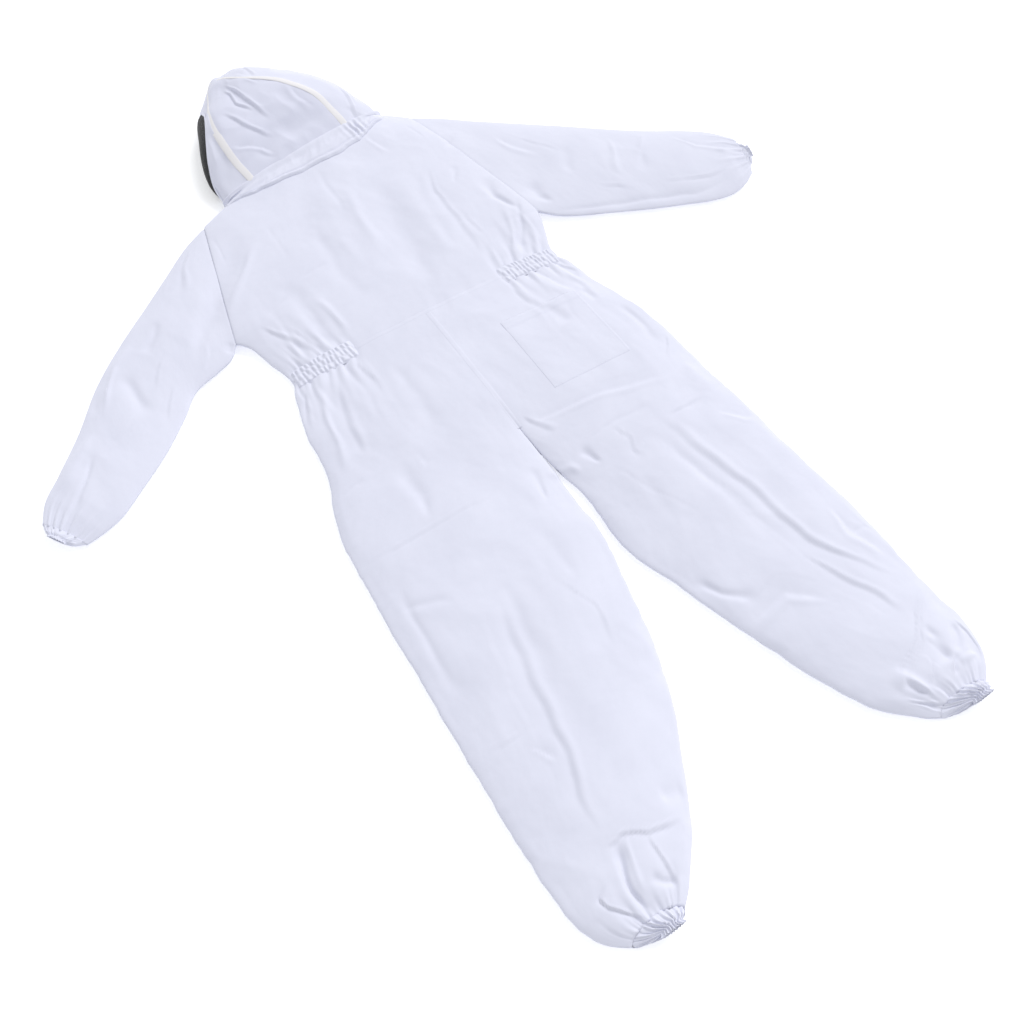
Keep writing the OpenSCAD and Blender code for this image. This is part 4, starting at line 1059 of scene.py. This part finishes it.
def hood_grid(a0, a1, v0, v1, na, nv, sag=0.0, k=1.0, crease=True):
    a = np.linspace(0, 1, na)[None, :]
    v = np.linspace(0, 1, nv)[:, None]
    A0 = a0(v) if callable(a0) else a0
    A1 = a1(v) if callable(a1) else a1
    A = mix(A0, A1, a) + 0 * v
    V = mix(v0, v1, v) + 0 * a
    edge_k = smooth(np.minimum(a, 1 - a) / 0.12)
    edge_k = edge_k * smooth(np.abs(V - 236) / 16)
    d = -sag * np.sin(np.pi * np.clip(a, 0, 1)) ** 1.7 * smooth(V / 60) * smooth((236 - V) / 50)
    d = d + edge_k * (hood_rumple(V, A, k) + (hood_creased(V, A) if crease else 0))
    return from_hood(dome(V, A, d)), A, V


def hood_piece(name, node, G, mat=None, **kw):
    # the default material is the darker hood cloth, which carries painted shade
    ob = cloth(name, G, mat or M_hood_painted_shade, held="stretched", **kw)
    if node:
        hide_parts(node)
    return ob


def open_angle(V):  # where the cloth stops and the net begins, at the wearer's left and right
    return np.interp(V, [0, 12, 22, 45, 76, 105, 127, 148, 168, 186, 208, 224, 236], [0, 0.3, 3, 10, 20, 26, 30, 33, 35, 35, 28, 14, 0])


def open_edge(v):
    return open_angle(1.2 + v * 234.8)


RIGHT_OPEN = 0.22


def dome_band(name, A, V, half, mat, lift=0.1, bulge=1.3, thick=0.6, n=170, narrow=0.0):
    """A tape on the hood's cloth, along a route given as angle and v."""
    seg = np.concatenate([[0], np.cumsum(np.linalg.norm(np.diff(dome(np.asarray(V, float), np.asarray(A, float)), axis=0), axis=1))])
    q = np.linspace(0, seg[-1], n)
    a, v = hermite(seg, np.asarray(A, float), q), hermite(seg, np.asarray(V, float), q)
    ga = np.linalg.norm(dome(v, a + 0.5) - dome(v, a - 0.5), axis=1)
    gv = np.linalg.norm(dome(v + 0.5, a) - dome(v - 0.5, a), axis=1)
    t = np.stack([np.gradient(a) * ga, np.gradient(v) * gv], 1)
    t /= np.linalg.norm(t, axis=1, keepdims=True)
    c = np.linspace(-1, 1, 21)[None, :]
    half = half * (1 - narrow * smooth((v - 130) / 70))
    AA = a[:, None] - t[:, 1:] * c * (half / ga)[:, None]
    VV = v[:, None] + t[:, :1] * c * (half / gv)[:, None]
    d = lift + bulge * (1 - narrow * smooth((v - 130) / 70))[:, None] * np.clip(1 - (c / 0.92) ** 2, 0, 1) ** 0.6 + 0 * AA
    G = from_hood(dome(np.maximum(VV, 0.5), AA, d))
    return cloth(name, G, mat, up=None, thick=thick, slot="binding", held="stretched"), G



def casing_left(V):
    return np.interp(V, [0, 22, 57, 92, 134, 190, 236], [49, 48.5, 47, 45.5, 43, 43, 47])


def casing_right(V):
    return np.interp(V, [0, 44, 83, 101, 115, 130, 148, 164, 182, 206, 228, 236], [124.5, 123, 121, 118, 115, 112.5, 108.5, 102, 95, 87, 80, 77])


G, A, V = hood_grid(lambda v: casing_left(1.2 + v * 234.8), lambda v: casing_right(1.2 + v * 234.8), 1.2, 236, 110, 140, sag=8, k=1.0)
# the back panel takes the darker hood cloth: painted shade of the sunken panel between the casings
hb = hood_piece("hood_back_cloth", "hood_back_panel", G)
G1, A, V = hood_grid(open_edge, lambda v: casing_left(1.2 + v * 234.8), 1.2, 236, 40, 110, k=0.8)
hl = hood_piece("hood_left_cloth", "hood_side_left", G1, M_cloth)
G2, A, V = hood_grid(lambda v: casing_right(1.2 + v * 234.8), lambda v: 180 - RIGHT_OPEN * open_edge(v), 1.2, 236, 90, 110, k=0.9)
hr = hood_piece("hood_right_cloth", "hood_side_right", G2, M_cloth)
G3, A, V = hood_grid(0, 180, 234.6, 286.5, 120, 40, k=0.8)
G3[0, :, 2] -= 0.2
# the crown folds down over the tip, to the brow band
rim3 = np.stack([(G3[-1, :, 0] - HOOD_AT[0]) * CT + (G3[-1, :, 1] - HOOD_AT[1]) * SN, -(G3[-1, :, 0] - HOOD_AT[0]) * SN + (G3[-1, :, 1] - HOOD_AT[1]) * CT, G3[-1, :, 2]], -1)
tip = []
for t in np.linspace(0, 1, 14)[1:]:
    tip.append(np.stack([rim3[:, 0], rim3[:, 1] + 1.6 * math.sin(math.pi * min(t * 0.9 + 0.1, 1)), mix(rim3[:, 2], 1.3, t)], -1))
G3 = np.concatenate([G3, from_hood(np.array(tip))])
hc = hood_piece("hood_crown_cloth", "hood_crown_panel", G3, M_cloth)
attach(hc, "hood")


def seam_band(name, path3, half, mat, lift=1.2, thick=0.9, bulge=1.6, nodes=(), n=150, round_tube=False):
    """A tape along a 3-D route (pattern mm), lying on the dome under it."""
    p = resample(path3, n)
    d = np.gradient(p, axis=0)
    d /= np.linalg.norm(d, axis=1, keepdims=True)
    c = from_hood(np.array([0.0, 95.0, 15.0]))
    out = p - c
    out -= d * (out * d).sum(1, keepdims=True)
    out /= np.linalg.norm(out, axis=1, keepdims=True)
    sd = np.cross(d, out)
    v = np.linspace(-1, 1, 21)
    if round_tube:
        th = np.linspace(0, 2 * np.pi, 25)
        G = p[:, None, :] + half * (sd[:, None, :] * np.cos(th)[None, :, None] - out[:, None, :] * np.sin(th)[None, :, None])
    else:
        G = p[:, None, :] + sd[:, None, :] * (v * half)[None, :, None] + out[:, None, :] * (lift + bulge * np.clip(1 - (v / 0.8) ** 2, 0, 1) ** 0.75)[None, :, None]
    ob = cloth(name, G, mat, up=None, thick=thick, slot="binding", held="stretched")
    return ob, G


rear_v = np.array([2, 12, 40, 80, 100, 120, 140, 160, 180, 200, 218, 234.0])
route_a = np.concatenate([casing_left(rear_v), [52, 58, 65, 71], casing_right(rear_v)[::-1]])
route_v = np.concatenate([rear_v, [243, 247, 247, 242], rear_v[::-1]])
rc, RG = dome_band("rear_hoop_tape", route_a, route_v, 7.6, M_cream, bulge=1.1, narrow=0.6)
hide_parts("rear_hoop_casing", "rear_hoop_rod")
stitch("hood", RG[6:-6, 2], lift=0.4)
stitch("hood", RG[6:-6, -3], lift=0.4)

# the veil: net from the cloth's edge down the side walls and across the face
nv_, ns_ = 90, 120
v = np.linspace(0, 1, nv_)
V = 30.5 + v * 215
s = np.linspace(0, 1, ns_)
rows = []
for k in range(nv_):
    a_open = float(open_angle(V[k])) + 1.5
    aa = np.linspace(a_open, 0, 16)
    wall = dome(np.full(16, V[k]), aa, -1.0 + 5.0 * np.sin(np.pi * np.linspace(0, 1, 16)) * smooth(a_open / 18))
    w = float(hood_w(V[k]))
    fx = np.linspace(-1, 1, ns_ - 32 + 2)[1:-1]
    xx = (w - 1.0) * np.sin(fx * np.pi / 2)
    zz = 1.2 + (ZB - 1.2) * np.abs(np.sin(fx * np.pi / 2)) ** 5
    face = np.stack([xx, np.full(len(xx), V[k]), zz], -1)
    wall_r = dome(np.full(16, V[k]), 180 - np.linspace((a_open - 1.5) * RIGHT_OPEN + 1.5, 0, 16), -1.0)
    rows.append(np.concatenate([wall, face, wall_r[::-1]]))
VG = from_hood(np.array(rows))
veil = cloth("veil_net", VG, M_net, up=None, thick=0.5, held="stretched", slot="net")
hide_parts("veil_mesh")
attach(veil, "hood")


def face_band(name, node, v0, v1, mid0, mid1, n=14):
    v = np.linspace(0, 1, n)[:, None]
    s = spread(90, 0.5)[None, :]
    V = mix(v0, v1, v)
    w = hood_w(V[:, 0])[:, None]
    X = mix(-w, w, s)
    rise = np.abs(2 * s - 1) ** 5
    z = mix(mix(mid0, mid1, smooth(v * 2.2)), ZB - 0.8, rise) + 0.8 + 0.4 * np.abs(N3(X / 30, V / 30))
    G = from_hood(np.stack([X, V + 0 * X, z], -1))
    ob = cloth(name, G, M_cloth, up=False, held="stretched")
    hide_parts(node)
    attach(ob, "hood")
    return ob


face_band("veil_chin_cloth", "veil_chin_band", 6.5, 31, 5.6, 0.6)
face_band("veil_brow_cloth", "veil_brow_band", 245.5, 286.5, 0.6, 0.6)

# bindings along the cloth's lower edge, where the net is sewn in
for sgn, nm in ((1, "left"), (-1, "right")):
    vv = np.linspace(4, 236, 60)
    aa = open_angle(vv) + 0.8 if sgn > 0 else 180 - RIGHT_OPEN * open_angle(vv) - 0.8
    ob, BG = dome_band(f"net_binding_{nm}", aa, vv, 2.4, M_cloth, lift=0.5, bulge=0.8)
    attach(ob, "hood")

# front hoop in its casing
vh_v = [12, 40, 80, 120, 160, 200, 228]
vh = [(-float(hood_w(q)) + 11, q, ZB + 8) for q in vh_v] + [(-66, 242, ZB + 9), (-40, 251, ZB + 10), (0, 253, ZB + 10)]
vh = vh + [(-x, y, z) for x, y, z in vh[-2::-1]]
vc, VCG = seam_band("veil_hoop_tape", from_hood(np.array(vh)), 3.6, M_cream, thick=0.7, round_tube=True)
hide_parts("veil_hoop_casing")
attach(vc, "hood")
hood_sew = sew("hood", "hood_stitching")

# ---- Sleeves, cuffs and hems ----------------------------------------------------
arms = {}
CUFF_RINGS = {
    "left": [(33, 6, 9, 3, 17, 12, 4, 0.9), (27, 9, 12.5, 7, 17.5, 14.5, 9, 1.6), (20, 11, 15, 9.5, 17, 14, 13.5, 1.5), (16, 12.5, 16, 12, 18, 14.5, 15.5, 1.2), (17.5, 16, 17, 15.5, 20, 17, 16.6, 1.8)],
    "right": [(33, 6, 9, 3, 17, 11, 4, 0.9), (27, 9, 12.5, 7, 17.5, 14.5, 9, 1.6), (20, 11, 15, 9.5, 17, 14, 13.5, 1.5), (16, 12.5, 16, 12, 18, 14.5, 15.5, 1.2), (17.5, 16, 17, 15.5, 20, 17, 16.6, 1.8)]}
HEM_RINGS = {
    "left": [(38, 1, 9, -9, 19.5, 12, 6, 1.8), (29, 5, 13, -1, 20.5, 12.5, 11, 2.6), (22, 7, 15.5, 4, 19.5, 11, 14, 2.2), (17, 9, 17, 7.5, 20, 11.5, 16.5, 1.8), (20.5, 13.5, 18, 13, 24, 15, 18, 2.8)],
    "right": [(43, 0.5, 9, -9, 19.5, 12, 6, 2.0), (30, 5, 13, -1, 20.5, 12.5, 11, 2.6), (22, 7, 15.5, 4, 19.5, 11, 14, 2.2), (17, 9, 17, 7.5, 20, 11.5, 16.5, 1.8), (20.5, 13.5, 18, 13, 24, 15, 18, 2.8)]}
for nm, st, seed in (("left", LEFT_ARM, N1), ("right", RIGHT_ARM, N2)):
    P, S = tube(st, 170, 62, arm_height, arm_folds, surface, seed)
    ga, gb = np.array(st[0][:2], float), np.array(st[0][2:4], float)
    inn = np.array([-(gb - ga)[1], (gb - ga)[0]]) / np.linalg.norm(gb - ga)
    if inn @ (np.array([0.0, 250.0]) - ga) < 0:
        inn = -inn
    P[0, :, :2] += 4.0 * inn
    P[0, :, 2] = np.maximum(P[0, :, 2] - 1.3, 0.9)
    P[1, :, :2] += 1.2 * inn
    P[1, :, 2] = np.maximum(P[1, :, 2] - 0.5, 0.9)
    ob = cloth(f"{nm}_sleeve_cloth", P, M_cloth, up=None)
    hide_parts(f"{nm}_sleeve")
    last = np.array(st[-1], float)
    o = (last[:2] + last[2:4]) / 2
    e = last[2:4] - last[:2]
    hw = np.linalg.norm(e) / 2
    e /= 2 * hw
    prev = (np.array(st[-3][:2]) + np.array(st[-3][2:4])) / 2
    d = (o - prev) / np.linalg.norm(o - prev)
    d = d - e * (d @ e)
    d /= np.linalg.norm(d)
    Pc = mouth(o, e, d, (hw, -1, 7, -3.0, 15.0, -2.0, 2.2, 0.5), CUFF_RINGS[nm], 44, 64, seed, k=7)
    oc = cloth(f"{nm}_cuff_cloth", Pc, M_cloth, up=None, held="gathered")
    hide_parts(f"{nm}_cuff_casing", f"{nm}_wrist_elastic")
    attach(oc, f"{nm}_sleeve")
    stitch(f"arm_{nm}", P[3:-6, 6])
    sw = sew(f"arm_{nm}", f"{nm}_sleeve_stitching")
    arms[nm] = (ob, sw)
for nm, ox, hw, seed in (("left", -288.5, 41.5, N3), ("right", 270, 47, N4)):
    Ph = mouth(np.array([ox, -1053.0]), np.array([1.0, 0]), np.array([0, -1.0]), (hw, 0, 7, -16, 16.4, 10, 3, 0.6), HEM_RINGS[nm], 48, 70, seed, k=8, shift=12.0 if nm == "left" else 20.0)
    oh = cloth(f"{nm}_hem_cloth", Ph, M_cloth, up=None, held="gathered")
    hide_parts(f"{nm}_hem_casing", f"{nm}_ankle_elastic")
    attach(oh, f"{nm}_lower_leg")

# ---- Sheet sizes, worked out from each mesh and not used further ----------------
for ob, w, l, area, held, rests in SHEETS:
    w, l = max(w, 0.0101), max(l, 0.0101)
    area = min(area, w * l)
    if area < 0.3 * w * l:
        w = l = math.sqrt(area * 1.05)


for nm, x in (("left", -219), ("right", 211.5)):
    for key in ("tb", "tf", "ts"):
        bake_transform(made[f"{key}_{nm}"][0])
for nm, (c0, c1) in (("left", ARM_L), ("right", ARM_R)):
    m = (c0 + c1) / 2
    d = c1 - c0
    out = np.array([-d[1], d[0]]) / np.linalg.norm(d)
    if nm == "right":
        out = -out
    e = m + out * 64
    for o in arms[nm]:
        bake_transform(o)
for o in (hb, rc, hood_sew):
    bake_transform(o)
# the side panels: their transforms are baked into the meshes
for o, ang, sg in ((hl, 49.0, -1), (hr, 124.5, 1)):
    c0 = dome(np.array(0.0), np.array(ang))
    c0[2] = 0.0
    c1 = c0 + np.array([0.8 * sg, 1.0, 0.0]) * 55 / 1.64
    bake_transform(o)

# ---- CAD nodes that stay, with finished materials ----------------------------------
SHOWN = {"tape": M_tape, "teeth": M_teeth, "stop": M_metal, "slider": M_metal, "pull": M_metal, "rod": M_rod, "elastic": M_elastic}
for name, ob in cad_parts.items():
    if ob.hide_render:
        continue
    for key, mat in SHOWN.items():
        if key in name:
            if ob.material_slots:
                for sl in ob.material_slots:
                    sl.material = mat
            else:
                ob.data.materials.append(mat)

# ---- Floor, light --------------------------------------------------------------------
fm, nt, b = nodes_of("floor")
co = add(nt, "ShaderNodeTexCoord").outputs["Object"]
nz = add(nt, "ShaderNodeTexNoise", i_Scale=3.0, i_Detail=2.0)
nt.links.new(co, nz.inputs["Vector"])
nt.links.new(ramp(nt, nz.outputs[0], (0.93, 0.93, 0.935), (0.94, 0.94, 0.945), 0.3, 0.7), b.inputs["Base Color"])
b.inputs["Roughness"].default_value = 0.9
b.inputs["Specular IOR Level"].default_value = 0.1
b.inputs["Emission Color"].default_value = (0.97, 0.98, 1.0, 1)
b.inputs["Emission Strength"].default_value = 0.34
floor = mesh_object("floor", [(-14, -14, -0.0004), (14, -14, -0.0004), (14, 14, -0.0004), (-14, 14, -0.0004)], [(0, 1, 2, 3)], material=fm)

world = bpy.data.worlds.new("studio")
scene.world = world
world.use_nodes = True
bg = world.node_tree.nodes.get("Background") or world.node_tree.nodes.new("ShaderNodeBackground")
bg.inputs[0].default_value = (0.97, 0.98, 1.0, 1)
bg.inputs[1].default_value = 0.74


def area_light(name, loc, to, size, power, color=(1, 1, 1)):
    L = bpy.data.lights.new(name, "AREA")
    L.shape, L.size, L.size_y, L.energy, L.color = "RECTANGLE", size[0], size[1], power, color
    o = bpy.data.objects.new(name, L)
    o.location = loc
    o.rotation_euler = (Vector(to) - Vector(loc)).to_track_quat("-Z", "Y").to_euler()
    scene.collection.objects.link(o)
    return o


sun = bpy.data.lights.new("softbox_sun", "SUN")
sun.energy, sun.angle, sun.color = 1.75, math.radians(34), (1.0, 0.995, 0.985)
so = bpy.data.objects.new("softbox_sun", sun)
so.rotation_euler = (Vector((0, 0, 0)) - Vector((1.5, 0.75, 1.45))).to_track_quat("-Z", "Y").to_euler()
scene.collection.objects.link(so)
scene.view_settings.view_transform = "Standard"
scene.view_settings.look = "None"
scene.view_settings.exposure = 0.0
scene.view_settings.gamma = 1.0
